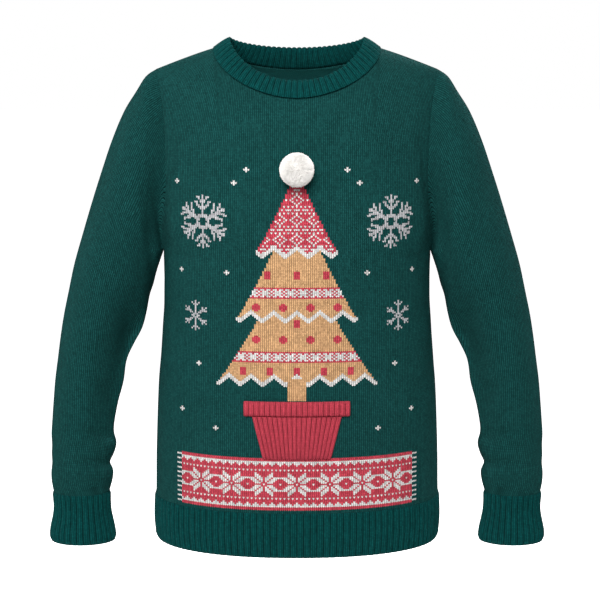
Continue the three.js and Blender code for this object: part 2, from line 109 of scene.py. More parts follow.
def spreadAlong(line, shares):
    # Points at the given shares of a line's length
    length = runLength(line, 0)
    return np.stack([np.interp(shares * length[-1], length, line[:, k]) for k in range(3)], -1)


def closeRows(grid):
    # The first column again at the end of each row
    return np.concatenate([grid, grid[:, :1]], 1)


# Shape of the body

body = {
    "thickness": 2.5,       # of the cloth
    "seamGap": 0.3,         # between front and back at the sides, and under what is sewn on
    "neckHalfWidth": 108.7,
    "neckTopZ": 3.6,
    "shoulderTipZ": -24.5,
    "shoulderCurve": 1.12,
    "frontNeckDrop": 64,
    "backNeckDrop": 30,
    "neckPower": 1.85,
    "neckRoot": 1.7,
    "underarmZ": -270,
    "ribTopZ": -608,
    "hemZ": -670,
    "frontSlopeHeight": 240,
    "backSlopeHeight": 200,
    "section": 2.2,
    "armholeHalfDepth": 56,
    "armholeRound": 62,
    "edgeZ": [-670, -640, -600, -550, -450, -380, -310, -270, -230, -170, -110, -70, -24.5],
    "edgeHalfWidth": [196, 198, 196.5, 195.5, 191, 185, 181.5, 182, 178.5, 174.5, 175.5, 179.5, 188],
    "depthZ": [-670, -630, -560, -440, -330, -230, -120, 10],
    "frontDepth": [118, 121, 120, 115, 117, 119, 115, 110],
    "backDepth": [114, 117, 114, 104, 105, 111, 113, 106],
    # x0, z0, x1, z1, height, width: pull lines below the arms, a soft roll above the rib, small dents
    "frontCreases": [
        (176, -262, 128, -222, -2.6, 9), (-176, -262, -126, -226, -2.6, 9),
        (178, -285, 140, -268, -1.6, 8), (-178, -282, -138, -262, -1.6, 8),
        (176, -200, 168, -120, -2.0, 8), (-176, -196, -168, -118, -2.0, 8),
        (184, -330, 150, -372, -1.4, 12), (-184, -338, -152, -380, -1.4, 12),
        (188, -420, 160, -470, -1.0, 13), (-188, -408, -162, -452, -1.0, 13),
        (150, -592, 60, -598, 0.9, 7), (-152, -592, -40, -598, 0.9, 7),
    ],
    "backCreases": [
        (176, -262, 120, -205, -5.2, 10), (-176, -262, -118, -214, -4.8, 10),
        (178, -288, 126, -262, -3.6, 9), (-178, -284, -124, -254, -3.9, 9),
        (118, -322, -84, -346, -7.0, 14), (52, -380, -134, -358, -5.6, 12),
        (-70, -424, 126, -412, -6.2, 13), (176, -350, 104, -392, -5.0, 12),
        (-176, -346, -112, -396, -4.4, 13), (46, -68, -38, -74, -3.0, 13),
        (150, -590, 20, -597, 1.8, 9), (-152, -591, -30, -597, 1.6, 8),
    ],
}


def edgeHalfWidth(z):
    return curveThrough(body["edgeZ"], body["edgeHalfWidth"], z)


def dome(share, power, root):
    return np.maximum(0, 1 - np.minimum(1, np.abs(share)) ** power) ** (1 / root)


def ridgeZ(x):
    wide = float(edgeHalfWidth(body["shoulderTipZ"]))
    out = np.maximum(0, np.abs(x) - body["neckHalfWidth"]) / (wide - body["neckHalfWidth"])
    return body["neckTopZ"] + (body["shoulderTipZ"] - body["neckTopZ"]) * out ** body["shoulderCurve"]


def neckSeamZ(x, side):
    drop = body["frontNeckDrop"] if side < 0 else body["backNeckDrop"]
    return body["neckTopZ"] - drop * dome(x / body["neckHalfWidth"], body["neckPower"], body["neckRoot"])


def armholeHalfDepth(z):
    up = np.clip((z - body["underarmZ"]) / body["armholeRound"], 0, 1)
    return body["armholeHalfDepth"] * np.sqrt(1 - (1 - up) ** 2)


def bodyPoint(side, across, z):
    # side is -1 in front and 1 behind; across runs from -1 to 1 between the side edges
    across, z = np.broadcast_arrays(np.asarray(across, float), np.asarray(z, float))
    x = across * edgeHalfWidth(z)
    depth = curveThrough(body["depthZ"], body["frontDepth" if side < 0 else "backDepth"], z)
    slopeHeight = body["frontSlopeHeight" if side < 0 else "backSlopeHeight"]
    down = np.clip((ridgeZ(x) - z) / slopeHeight, 0, 1)
    slope = np.sqrt(1 - (1 - down) ** 2)
    opening = (armholeHalfDepth(z) / depth) ** body["section"]
    rounded = np.maximum(0, 1 - np.abs(across) ** body["section"] * (1 - opening))
    y = side * slope * depth * rounded ** (1 / body["section"])
    return np.stack([x, y, z], -1)


def columnTopZ(side, across):
    z = np.full(np.shape(across), float(body["neckTopZ"]))
    for _ in range(14):  # settles on the height at which the column meets the seam
        x = across * edgeHalfWidth(z)
        z = np.where(np.abs(x) < body["neckHalfWidth"], neckSeamZ(x, side), ridgeZ(x))
    return z


# Cloth meshes

seamGroove = {"depth": 0.15, "width": 2.2}

armpit = {
    "z": [-300, -271, -262, -252, -235, -212, -190, -170, -150, -132],
    "sink": [0, 0, 9, 15, 19, 18.5, 15, 9.5, 4, 0],
    "shift": [0, 0, 0, 1, 3, 5, 6, 6, 6, 6],  # how far the crease lies outside the seam
    "most": 0.8,                              # no point sinks by more than this share of its depth
    "bodyWidth": 10,
    "sleeveWidth": 17,
    "swells": [(-14, 7, 0.08), (38, 12, 0.1)],  # place, width and share, on the body and the sleeve
}


def gridNormals(grid, closed):
    if closed:
        sideways = np.roll(grid, -1, 1) - np.roll(grid, 1, 1)
    else:
        sideways = np.gradient(grid, axis=1)
    return unit(np.cross(sideways, np.gradient(grid, axis=0)))


def rollEdges(grid, normals, distances):
    # Turns the cloth in towards its seams, so that two pieces meet in a faint groove
    near = np.exp(-((distances / seamGroove["width"]) ** 2))
    return grid - normals * (seamGroove["depth"] * near)[..., None]


def sinkArmpit(grid):
    # The cloth falls back into a deep crease along the lower half of the armhole seam
    x, y, z = np.abs(grid[..., 0]), grid[..., 1], grid[..., 2]
    away = x - edgeHalfWidth(z) - curveThrough(armpit["z"], armpit["shift"], z)
    width = np.where(away < 0, armpit["bodyWidth"], armpit["sleeveWidth"])
    share = np.exp(-((away / width) ** 2))
    for at, swellWidth, swell in armpit["swells"]:
        share = share - swell * np.exp(-(((away - at) / swellWidth) ** 2))
    sink = curveThrough(armpit["z"], armpit["sink"], z) * share
    moved = grid.copy()
    moved[..., 1] = y - np.sign(y) * np.minimum(sink, np.abs(y) * armpit["most"])
    return moved


def newPiece(name, points, faces, uvs=None):
    # uvs are the stitch coordinates of every corner of the faces
    mesh = bpy.data.meshes.new(name)
    mesh.from_pydata((points * millimetre).tolist(), [], faces)
    if uvs is not None:
        layer = mesh.uv_layers.new(name="stitches")
        layer.data.foreach_set("uv", np.array(uvs, np.float32).ravel())
    piece = bpy.data.objects.new(name, mesh)
    bpy.context.scene.collection.objects.link(piece)
    return piece


def clothPiece(name, outer, inner, stitches, closed, facing, step, cellYarns=None):
    # A closed shell: a fine outer grid, an inner grid of every step-th point, and the cloth's edges
    rows, columns = outer.shape[:2]
    spans = columns if closed else columns - 1
    innerRows = sorted(set(range(0, rows, step)) | {rows - 1})
    innerColumns = sorted(set(range(0, columns, step)) | {spans})
    solidColumns = [j for j in innerColumns if j < columns]
    innerGrid = inner[np.ix_(innerRows, solidColumns)]
    points = np.concatenate([outer.reshape(-1, 3), innerGrid.reshape(-1, 3)])

    i, j = np.meshgrid(np.arange(rows - 1), np.arange(spans), indexing="ij")
    i, j = i.ravel(), j.ravel()
    marks = np.stack([i, j, i, j + 1, i + 1, j + 1, i + 1, j], 1).reshape(-1, 4, 2)
    if facing < 0:
        marks = marks[:, ::-1]
    outerFaces = marks[..., 0] * columns + marks[..., 1] % columns
    outerStitches = stitches[marks[..., 0], marks[..., 1]]

    rowPlace = {i: k for k, i in enumerate(innerRows)}
    columnPlace = {j: k for k, j in enumerate(solidColumns)}
    faces, corners, slots = [], [], []

    def outerAt(i, j):
        return i * columns + j % columns, (i, j)

    def innerAt(i, j):
        return rows * columns + rowPlace[i] * len(solidColumns) + columnPlace[j % columns], (i, j)

    def add(ring, slot):
        ring = ring[::-1] if facing < 0 else ring
        faces.append([point for point, _ in ring])
        corners.extend(stitches[mark] for _, mark in ring)
        slots.append(slot)

    for a, b in pairwise(innerRows):
        for c, d in pairwise(innerColumns):
            add([innerAt(a, c), innerAt(b, c), innerAt(b, d), innerAt(a, d)], 1)
    top, side = rows - 1, columns - 1
    for c, d in pairwise(innerColumns):
        along = range(c, d + 1)
        add([innerAt(0, c), innerAt(0, d)] + [outerAt(0, k) for k in reversed(along)], 0)
        add([outerAt(top, k) for k in along] + [innerAt(top, d), innerAt(top, c)], 0)
    if not closed:
        for a, b in pairwise(innerRows):
            along = range(a, b + 1)
            add([outerAt(k, 0) for k in reversed(along)] + [innerAt(a, 0), innerAt(b, 0)], 0)
            add([outerAt(k, side) for k in along] + [innerAt(b, side), innerAt(a, side)], 0)

    uvs = np.concatenate([outerStitches.reshape(-1, 2), np.array(corners)])
    piece = newPiece(name, points, outerFaces.tolist() + faces, uvs)
    if cellYarns is not None:
        paintCells(piece.data, cellYarns, len(outerFaces), len(uvs))
    return piece, np.concatenate([np.zeros(len(outerFaces), int), slots])


def paintCells(mesh, cellYarns, cells, corners):
    # Each stitch's own yarn, and the yarn of the stitch below it, whose legs reach up into the cell
    for name, colours in zip(("ownYarn", "yarnBelow"), cellYarns):
        layer = mesh.color_attributes.new(name=name, type="FLOAT_COLOR", domain="CORNER")
        values = np.tile(np.array(yarns["green"], np.float32), (corners, 1))
        values[: cells * 4] = np.repeat(colours.reshape(-1, 4), 4, axis=0)
        layer.data.foreach_set("color", values.ravel())


def finishPiece(piece, slotIndex, materials, node, smoothAngle=50):
    for material in materials:
        piece.data.materials.append(material)
    piece.data.polygons.foreach_set("material_index", np.minimum(slotIndex, len(materials) - 1))
    piece.data.update()
    bpy.ops.object.select_all(action="DESELECT")
    piece.select_set(True)
    bpy.context.view_layer.objects.active = piece
    bpy.ops.object.shade_smooth_by_angle(angle=math.radians(smoothAngle))
    piece.select_set(False)
    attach(piece, "root")
    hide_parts(node)
    return piece


# Knit shader groups

knitLook = {
    "slant": 0.62,        # how far a stitch's legs rise from its foot to its sides, in rows
    "borderDepth": 1.0,   # extra depth of the groove between two columns of stitches
    "rowDepth": 0.5,      # depth of the groove between a stitch and the next one up
    "stitchShare": 0.6,   # how much of the tone is each stitch's own
    "columnShare": 0.4,   # and how much runs on along its column
    "purlSway": 0.16,     # how far the wrong side's bars wave, in rows
    # Step through the noise for each column and each row, and the noise's gain and offset
    "streak": (5.3, 0.2, 2.6, -0.8),
    # uneven painted shade in the rib grooves, from rib to rib
    "grooveShadeNoise": (3.7, 0.16, 2.4, -0.4),
    # Scale of the yarn's clouds and of its fibres, and how much they change its tone
    "clouds": (22, 0.22),
    "fibres": (1700, 0.3),
}

rib = {
    "relief": 1.8,
    "pointsEach": 8,      # points of the mesh across a rib
    "walesEach": 3,       # and columns of stitches
    "profile": 0.55,      # below 1 for full, round ribs
    "insideRelief": 0.8,
    "endShare": 0.06,     # over this share of a strip's height the ribs flatten towards its ends
    "endRelief": 0.35,    # and keep this share of their relief there
    "hemPull": 0.7,       # the cast-on edge is pulled in a little
}


def newGroup(name, inputs, outputs):
    group = bpy.data.node_groups.new(name, "ShaderNodeTree")
    for label, kind, value in inputs:
        socket = group.interface.new_socket(name=label, in_out="INPUT", socket_type=kind)
        if value is not None:
            socket.default_value = value
    for label, kind in outputs:
        group.interface.new_socket(name=label, in_out="OUTPUT", socket_type=kind)
    return group, group.nodes.new("NodeGroupInput"), group.nodes.new("NodeGroupOutput")


def setInputs(node, values):
    for label, value in values.items():
        node.inputs[label].default_value = value


def mathNode(tree, operation, *values, clamp=False):
    node = tree.nodes.new("ShaderNodeMath")
    node.operation = operation
    node.use_clamp = clamp
    for socket, value in zip(node.inputs, values):
        if isinstance(value, (int, float)):
            socket.default_value = value
        else:
            tree.links.new(value, socket)
    return node.outputs[0]


def swing(tree, value):
    # 1 where the value is 0 or 1, and 0 half way
    return mathNode(tree, "ABSOLUTE", mathNode(tree, "MULTIPLY_ADD", value, 2.0, -1.0))


def lessBy(tree, value, share):
    # 1 less the value times its share
    return mathNode(tree, "SUBTRACT", 1.0, mathNode(tree, "MULTIPLY", value, share))


def aroundOne(tree, value, spread):
    # 1 where the value is a half, and more or less by the spread
    return mathNode(tree, "MULTIPLY_ADD", mathNode(tree, "SUBTRACT", value, 0.5), spread, 1.0)


def joinVector(tree, x, y):
    node = tree.nodes.new("ShaderNodeCombineXYZ")
    tree.links.new(x, node.inputs[0])
    tree.links.new(y, node.inputs[1])
    return node.outputs[0]


def mixColours(tree, blend, factor, first, second):
    node = tree.nodes.new("ShaderNodeMix")
    node.data_type = "RGBA"
    node.blend_type = blend
    for index, value in ((0, factor), (6, first), (7, second)):
        if isinstance(value, bpy.types.NodeSocket):
            tree.links.new(value, node.inputs[index])
        else:
            node.inputs[index].default_value = value
    return node.outputs[2]


def noiseNode(tree, vector, scale, detail=2.0, roughness=0.5):
    node = tree.nodes.new("ShaderNodeTexNoise")
    setInputs(node, {"Scale": scale, "Detail": detail, "Roughness": roughness})
    tree.links.new(vector, node.inputs["Vector"])
    return node.outputs[0]


def unevenNode(tree, column, v, look, detail):
    # A number from 0 to 1 for each column, which changes slowly along it
    step, rowStep, gain, offset = look
    column = mathNode(tree, "MULTIPLY", column, step)
    place = joinVector(tree, column, mathNode(tree, "MULTIPLY", v, rowStep))
    noise = noiseNode(tree, place, 1.0, detail)
    return mathNode(tree, "MULTIPLY_ADD", noise, gain, offset, clamp=True)


def stitchGroup(name, outputs, inputs=()):
    # A group that reads stitch coordinates and splits them into column and row
    group, source, result = newGroup(
        name,
        [("Stitches", "NodeSocketVector", None), *inputs],
        [(label, "NodeSocketFloat") for label in outputs],
    )
    split = group.nodes.new("ShaderNodeSeparateXYZ")
    group.links.new(source.outputs[0], split.inputs[0])
    return group, partial(mathNode, group), split.outputs[0], split.outputs[1], result


def makeKnitGroup():
    # The relief of V stitches, a number for each stitch, and where the legs of the stitch below
    # cover the cell
    group, calc, u, v, result = stitchGroup("knitStitches", ("Height", "Each stitch", "From below"))
    fromMiddle = swing(group, calc("FRACT", u))
    rise = calc("MULTIPLY", fromMiddle, knitLook["slant"])
    row = calc("SUBTRACT", v, rise)
    leg = calc("POWER", swing(group, fromMiddle), 2.0)
    legRound = calc("SQRT", calc("SUBTRACT", 1.0, leg, clamp=True))
    border = lessBy(group, calc("POWER", fromMiddle, 2.0), knitLook["borderDepth"])
    rowWave = calc("POWER", swing(group, calc("FRACT", row)), 3.0)
    rowRound = lessBy(group, rowWave, knitLook["rowDepth"])
    height = calc("MULTIPLY", calc("MULTIPLY", legRound, border), rowRound)
    group.links.new(height, result.inputs[0])

    random = group.nodes.new("ShaderNodeTexWhiteNoise")
    cell = joinVector(group, calc("FLOOR", u), calc("FLOOR", row))
    group.links.new(cell, random.inputs["Vector"])
    own = calc("MULTIPLY", random.outputs["Value"], knitLook["stitchShare"])
    streak = unevenNode(group, calc("FLOOR", u), v, knitLook["streak"], 1.0)
    group.links.new(calc("MULTIPLY_ADD", streak, knitLook["columnShare"], own), result.inputs[1])
    group.links.new(calc("LESS_THAN", calc("FRACT", v), rise), result.inputs[2])
    return group


def makePurlGroup():
    # The wrong side of the knit: rows of small bars
    group, calc, u, v, result = stitchGroup("purlBars", ("Height",))
    sway = calc("SINE", calc("MULTIPLY", u, 2 * math.pi))
    row = calc("MULTIPLY_ADD", sway, knitLook["purlSway"], v)
    wave = calc("SINE", calc("MULTIPLY", row, 2 * math.pi))
    group.links.new(calc("MULTIPLY_ADD", wave, 0.5, 0.5), result.inputs[0])
    return group


def makeRibShadeGroup():
    # Painted shade of a rib: 1 on its crown, falling to the sunk columns between ribs
    inputs = [("Depth", "NodeSocketFloat", 0.6)]
    group, calc, u, v, result = stitchGroup("ribGrooveShade", ("Painted shade",), inputs)
    across = calc("DIVIDE", u, rib["walesEach"])
    fromCrown = swing(group, calc("FRACT", across))
    uneven = unevenNode(group, calc("ROUND", across), v, knitLook["grooveShadeNoise"], 2.0)
    depth = calc("MULTIPLY", group.nodes["Group Input"].outputs["Depth"], uneven)
    group.links.new(lessBy(group, calc("POWER", fromCrown, 3.0), depth), result.inputs[0])
    return group


def makeWoolGroup():
    # Colour of the yarn: each stitch a little lighter or darker, faint clouds, and painted shade that
    # darkens it between the legs, where the relief is low
    group, source, result = newGroup(
        "woolColour",
        [
            ("Yarn", "NodeSocketColor", (0.5, 0.5, 0.5, 1)),
            ("Height", "NodeSocketFloat", 0.5),
            ("Each stitch", "NodeSocketFloat", 0.5),
            # how strongly painted shade darkens the low places of the relief
            ("Depth", "NodeSocketFloat", 0.45),
            ("Heather", "NodeSocketFloat", 0.12),
        ],
        [("Colour", "NodeSocketColor"), ("Fuzz", "NodeSocketFloat")],
    )
    calc = partial(mathNode, group)
    yarn, height, each, depth, heather = source.outputs[:5]
    place = group.nodes.new("ShaderNodeTexCoord").outputs["Object"]
    (cloudScale, cloudShare), (fibreScale, fibreShare) = knitLook["clouds"], knitLook["fibres"]
    clouds = noiseNode(group, place, cloudScale, 3.0, 0.6)
    fibres = noiseNode(group, place, fibreScale, 2.0, 0.7)
    # Painted shade: the colour is darker where the stitches' relief is low, by the depth
    tone = lessBy(group, calc("SUBTRACT", 1.0, height), depth)
    for value, spread in ((each, heather), (clouds, cloudShare), (fibres, fibreShare)):
        tone = calc("MULTIPLY", tone, aroundOne(group, value, spread))
    toneColour = group.nodes.new("ShaderNodeCombineColor")
    for socket in toneColour.inputs[:3]:
        group.links.new(tone, socket)
    colour = mixColours(group, "MULTIPLY", 1.0, yarn, toneColour.outputs[0])
    group.links.new(colour, result.inputs[0])
    group.links.new(fibres, result.inputs[1])
    return group


knitGroup = makeKnitGroup()
purlGroup = makePurlGroup()
ribShadeGroup = makeRibShadeGroup()
woolGroup = makeWoolGroup()


def startMaterial(name, roughness, sheen, sheenTint):
    material = bpy.data.materials.new(name)
    material.use_nodes = True
    shader = material.node_tree.nodes["Principled BSDF"]
    setInputs(shader, {
        "Roughness": roughness, "Specular IOR Level": 0.01,
        "Sheen Weight": sheen, "Sheen Roughness": 0.45, "Sheen Tint": sheenTint,
    })
    return material, material.node_tree, shader


def useGroup(tree, group):
    node = tree.nodes.new("ShaderNodeGroup")
    node.node_tree = group
    return node


def knitMaterial(name, look, charted=False):
    material, tree, shader = startMaterial(name, look["roughness"], look["sheen"], look["sheenTint"])
    coordinates = tree.nodes.new("ShaderNodeUVMap")
    coordinates.uv_map = "stitches"
    knit = useGroup(tree, purlGroup if look.get("purl") else knitGroup)
    tree.links.new(coordinates.outputs[0], knit.inputs[0])
    wool = useGroup(tree, woolGroup)
    setInputs(wool, {"Depth": look["depth"], "Heather": look["heather"]})
    height = knit.outputs["Height"]
    # Ribbed pieces: painted shade darkens the colour in the sunk columns between ribs, and leaves the
    # bump as it is
    if look.get("ribShadeDepth"):
        ribShadeNode = useGroup(tree, ribShadeGroup)
        setInputs(ribShadeNode, {"Depth": look["ribShadeDepth"]})
        tree.links.new(coordinates.outputs[0], ribShadeNode.inputs["Stitches"])
        height = mathNode(tree, "MULTIPLY", height, ribShadeNode.outputs["Painted shade"])
    tree.links.new(height, wool.inputs["Height"])
    if not look.get("purl"):
        tree.links.new(knit.outputs["Each stitch"], wool.inputs["Each stitch"])
    if charted:
        own, below = (tree.nodes.new("ShaderNodeVertexColor") for _ in range(2))
        own.layer_name, below.layer_name = "ownYarn", "yarnBelow"
        chosen = mixColours(tree, "MIX", knit.outputs["From below"], own.outputs[0], below.outputs[0])
        tree.links.new(chosen, wool.inputs["Yarn"])
    else:
        setInputs(wool, {"Yarn": look["yarn"]})
    tree.links.new(wool.outputs["Colour"], shader.inputs["Base Color"])
    relief = mathNode(tree, "MULTIPLY_ADD", wool.outputs["Fuzz"], look["fuzz"], knit.outputs["Height"])
    bump = tree.nodes.new("ShaderNodeBump")
    setInputs(bump, {"Strength": look["bump"], "Distance": look["relief"] * millimetre})
    tree.links.new(relief, bump.inputs["Height"])
    tree.links.new(bump.outputs[0], shader.inputs["Normal"])
    return material


# depth sets the painted shade in the grooves between the stitches' legs, and between the bars on the
# wrong side
greenLook = {
    "yarn": yarns["green"], "roughness": 0.9, "sheen": 0.02, "sheenTint": (0.3, 0.85, 0.82, 1),
    "depth": 0.95, "heather": 0.6, "fuzz": 0.4, "bump": 1.0, "relief": 0.9,
}
# ribbed pieces also get painted shade in the sunk columns between their ribs
redLook = dict(
    greenLook, yarn=yarns["red"], sheenTint=(0.95, 0.6, 0.6, 1), depth=0.8, heather=0.3, ribShadeDepth=0.8)
greenWool = knitMaterial("greenWool", greenLook)
ribWool = knitMaterial("ribWool", dict(greenLook, yarn=fromScreen(13, 80, 79), depth=0.85, ribShadeDepth=0.66))
chartedWool = knitMaterial("chartedWool", dict(greenLook, depth=0.88), charted=True)
greenInside = knitMaterial("greenInside", dict(greenLook, purl=True, sheen=0.1, depth=0.5))
redWool = knitMaterial("redWool", redLook)
print("materials made")


# The chart knitted into the front: a fir tree in a pot on a patterned rug, between snow crystals

chart = {
    "halfColumns": 64,    # stitches charted each side of the middle one
    "plainColumns": 12,   # wider columns from there to each side seam
    "topRow": 219,        # last charted row, counted from the hem rib
    "rug": {"bottom": 2, "height": 33, "halfWidth": 59, "fringe": 3},
    "tiers": [            # bottom row, top row, half width below and above, in stitches
        (79, 127, 41, 16),
        (119, 167, 31, 10),
        (159, 207, 22, 2),
    ],
    "taper": 0.85,        # below 1, so that a tier's sides curve in
    "scallop": {"every": 11, "deep": 2.2, "up": 2.9, "edging": 3},  # a tier's wavy white edge
    "trim": (16, 7),      # a tier's band of crosses: how far up it starts, and its rows
    "baubles": [          # on the two lower tiers: row, spacing, shift sideways
        [(10, 13, 0), (30, 13, 6.5), (40, 40, 0)],
        [(10, 13, 6.5), (30, 14, 0)],
    ],
    "baubleRadius": 5.4,
    "trunk": (71, 84, 4),  # bottom row, top row, half width
    "tipEdge": 1.2,       # the plain edge of the top tier, in stitches
    "crystal": {          # lengths in millimetres, or as shares of the radius
        "column": 46, "row": 181, "radius": 35, "heart": 0.16, "disc": 0.3,
        "armLine": 2.4, "branchLine": 2.3, "branchSlope": 0.95,
        "branches": [(0.42, 0.34), (0.7, 0.26)],  # place on an arm, and length
    },
    "smallCrystal": {"column": 51, "row": 122},
    "snow": [(30, 205), (60, 150), (34, 150), (49, 92), (59, 62), (40, 52), (24, 213), (61, 205)],
}

starChart = [
    "...x.......x...",
    "...xx.....xx...",
    "...xxx...xxx...",
    "xxx.xxx.xxx.xxx",
    ".xxx.xx.xx.xxx.",
    "..xxx.x.x.xxx..",
    "...xxx...xxx...",
    ".......x.......",
]
diamondChart = ["...x...", "..x.x..", ".x...x.", "x..x..x"]
crystalChart = [
    ".......x.......",
    ".....x.x.x.....",
    "......xxx......",
    ".......x.......",
    ".x.x...x...x.x.",
    "..xx...x...xx..",
    ".xxxx..x..xxxx.",
    "....xx.x.xx....",
    "......xxx......",
    ".....xx.xx.....",
]


def mirroredRows(rows):
    return rows + rows[-2::-1]


def onRed(white):
    return "white" if white else "red"


def rugYarn(column, row):
    # Rows from the rug's lower edge: borders and teeth round a band of stars
    fromEdge = min(row, chart["rug"]["height"] - 1 - row)
    if fromEdge in (0, 1, 6, 8):
        return "red"
    if fromEdge == 2:
        return "white"
    if fromEdge in (3, 4, 5):
        return onRed(abs((column + 2) % 4 - 2) < 5 - fromEdge)
    if fromEdge == 7:
        return onRed(column % 2 == 0)
    inStar, place = row - 9, (column + 8) % 16
    if place == 0:
        return onRed(inStar % 4 == 3)
    return onRed(mirroredRows(starChart)[inStar][place - 1] == "x")


def tierYarn(column, row, index):
    bottom, top, halfBelow, halfAbove = chart["tiers"][index]
    scallop = chart["scallop"]
    row = row - bottom
    half = halfBelow + (halfAbove - halfBelow) * (row / (top - bottom)) ** chart["taper"]
    up = row - scallop["up"] - scallop["deep"] * math.cos(2 * math.pi * column / scallop["every"])
    if abs(column) > half or up < 0:
        return None
    if up < scallop["edging"]:
        return "white"
    if index == 2:
        return patternedTip(column, row, half)
    start, rows = chart["trim"]
    if start <= row < start + rows:
        return trimYarn(column, row - start)
    return baubleYarn(column, row, index)


def trimYarn(column, row):
    # A narrow band of crosses
    if row in (0, 6):
        return "red"
    if row in (1, 5):
        return onRed(column % 6 not in (0, 3))
    return onRed(abs((column + 3) % 6 - 3) != abs(row - 3))


def patternedTip(column, row, half):
    # The top of the tree: small diamonds in red and white
    row, place = (row - 8) % 12, (column + 4) % 8
    if abs(column) > half - chart["tipEdge"] or row in (9, 11):
        return "red"
    if row in (0, 8):
        return onRed(column % 2 == 0)
    if row == 10:
        return onRed(column % 4 != 2)
    return onRed(place > 0 and mirroredRows(diamondChart)[row - 1][place - 1] == "x")


def baubleYarn(column, row, index):
    for middle, spacing, shift in chart["baubles"][index]:
        x = (column + shift + spacing / 2) % spacing - spacing / 2
        if math.hypot(x * stitch["wale"], (row - middle) * stitch["course"]) < chart["baubleRadius"]:
            return "red"
    return "camel"


def crystalYarn(column, row):
    # A six-armed crystal round a small green heart, worked out in millimetres from its middle
    crystal = chart["crystal"]
    radius = crystal["radius"]
    x, z = column * stitch["wale"], row * stitch["course"]
    away = math.hypot(x, z)
    if away > radius + 1:
        return None
    if away < radius * crystal["heart"]:
        return "green"
    if away < radius * crystal["disc"]:
        return "grey"
    for arm in range(6):
        angle = math.radians(60 * arm + 90)
        along = x * math.cos(angle) + z * math.sin(angle)
        aside = abs(-x * math.sin(angle) + z * math.cos(angle))
        if 0 < along < radius and aside < crystal["armLine"]:
            return "grey"
        for root, reach in crystal["branches"]:
            out = along - radius * root
            fromBranch = abs(aside - out * crystal["branchSlope"])
            if 0 <= out < radius * reach and fromBranch < crystal["branchLine"]:
                return "grey"
    return None


def stitchYarn(column, row):
    rug, crystal, small = chart["rug"], chart["crystal"], chart["smallCrystal"]
    onRug, aside = row - rug["bottom"], abs(column)
    if 0 <= onRug < rug["height"]:
        if aside <= rug["halfWidth"]:
            return rugYarn(column, onRug)
        if aside <= rug["halfWidth"] + rug["fringe"] and onRug % 3 == 1:
            return "white"
    low, high, half = chart["trunk"]
    if low <= row <= high and aside <= half:
        return "camel"
    for index in (2, 1, 0):
        if chart["tiers"][index][0] <= row <= chart["tiers"][index][1]:
            found = tierYarn(column, row, index)
            if found:
                return found
    found = crystalYarn(aside - crystal["column"], row - crystal["row"])
    if found:
        return found
    x, up = aside - small["column"] + 7, row - small["row"] + 9
    if 0 <= x < 15 and 0 <= up < 19:
        return "grey" if mirroredRows(crystalChart)[up][x] == "x" else "green"
    for snowColumn, snowRow in chart["snow"]:
        if abs(aside - snowColumn) + abs(row - snowRow) <= 1:
            return "white"
    return "green"


# Front and back

panels = {
    "frontUpperRows": 44,  # rows of the mesh above the chart
    "backColumns": 96,
    "backCourses": 3,      # height of the back's rows, in courses
    "backRows": 73,
    "backUpperRows": 26,
    "creaseFade": 12,      # how near a seam the creases start to die away
    "samples": 500,
}


def panelRows(side, acrossAt, chartRows, upperRows, courseStep):
    # Rows of stitches up to the chart's top, then rows that spread to the neck and shoulders
    lowerZ = body["ribTopZ"] + seamClearance / 2 + courseStep * np.arange(chartRows + 1)
    rows = [bodyPoint(side, acrossAt(z), z) for z in lowerZ]
    across = acrossAt(lowerZ[-1])
    top = columnTopZ(side, across)
    for k in range(1, upperRows + 1):
        rows.append(bodyPoint(side, across, lowerZ[-1] + (top - lowerZ[-1]) * k / upperRows))
    grid = np.array(rows)
    grid[..., 1] += side * body["seamGap"] / 2
    return grid


def frontAcross(z):
    # Shares of the half width at which the front's columns of stitches run, spread to the side edge
    half = chart["halfColumns"] + 0.5
    fine = np.linspace(0, 1, panels["samples"])
    length = runLength(bodyPoint(-1, fine, z), 0)
    charted = half * stitch["wale"]
    plain = np.arange(1, chart["plainColumns"] + 1) / chart["plainColumns"]
    plain = charted + (length[-1] - charted) * plain
    wanted = np.concatenate([-plain[::-1], np.arange(-half, half + 1) * stitch["wale"], plain])
    return np.sign(wanted) * np.interp(np.abs(wanted), length, fine)


def backAcross(z):
    # The same at every height
    return np.sin(np.linspace(-1, 1, panels["backColumns"] + 1) * np.pi / 2)


def panelStitches(grid, chartRows, courseStep):
    # Stitch coordinates: columns by the distance from the middle, rows by the distance up the cloth
    across = runLength(grid, 1)
    middle = across[:, [grid.shape[1] // 2, (grid.shape[1] - 1) // 2]].mean(1, keepdims=True)
    up = runLength(grid, 0)
    rowsUp = np.arange(grid.shape[0], dtype=float)[:, None] * courseStep / stitch["course"]
    rowsUp = np.broadcast_to(rowsUp, up.shape).copy()
    rowsUp[chartRows:] = rowsUp[chartRows] + (up[chartRows:] - up[chartRows]) / stitch["course"]
    return np.stack([(across - middle) / stitch["wale"] + 0.5, rowsUp], -1)


def panelShell(side, grid, creases):
    grid = sinkArmpit(grid)
    normals = gridNormals(grid, False) * -side
    along, up = runLength(grid, 1), runLength(grid, 0)
    toSides = np.minimum(along, along[:, [-1]] - along)
    toEnds = np.minimum(up, up[[-1], :] - up)
    height = crease(grid[..., 0], grid[..., 2], creases)
    for distance in (toSides, toEnds):
        height = height * np.clip(distance / panels["creaseFade"], 0, 1)
    outer = rollEdges(grid + normals * height[..., None], normals, np.minimum(toSides, toEnds))
    inner = grid + normals * (height - body["thickness"])[..., None]
    return outer, inner


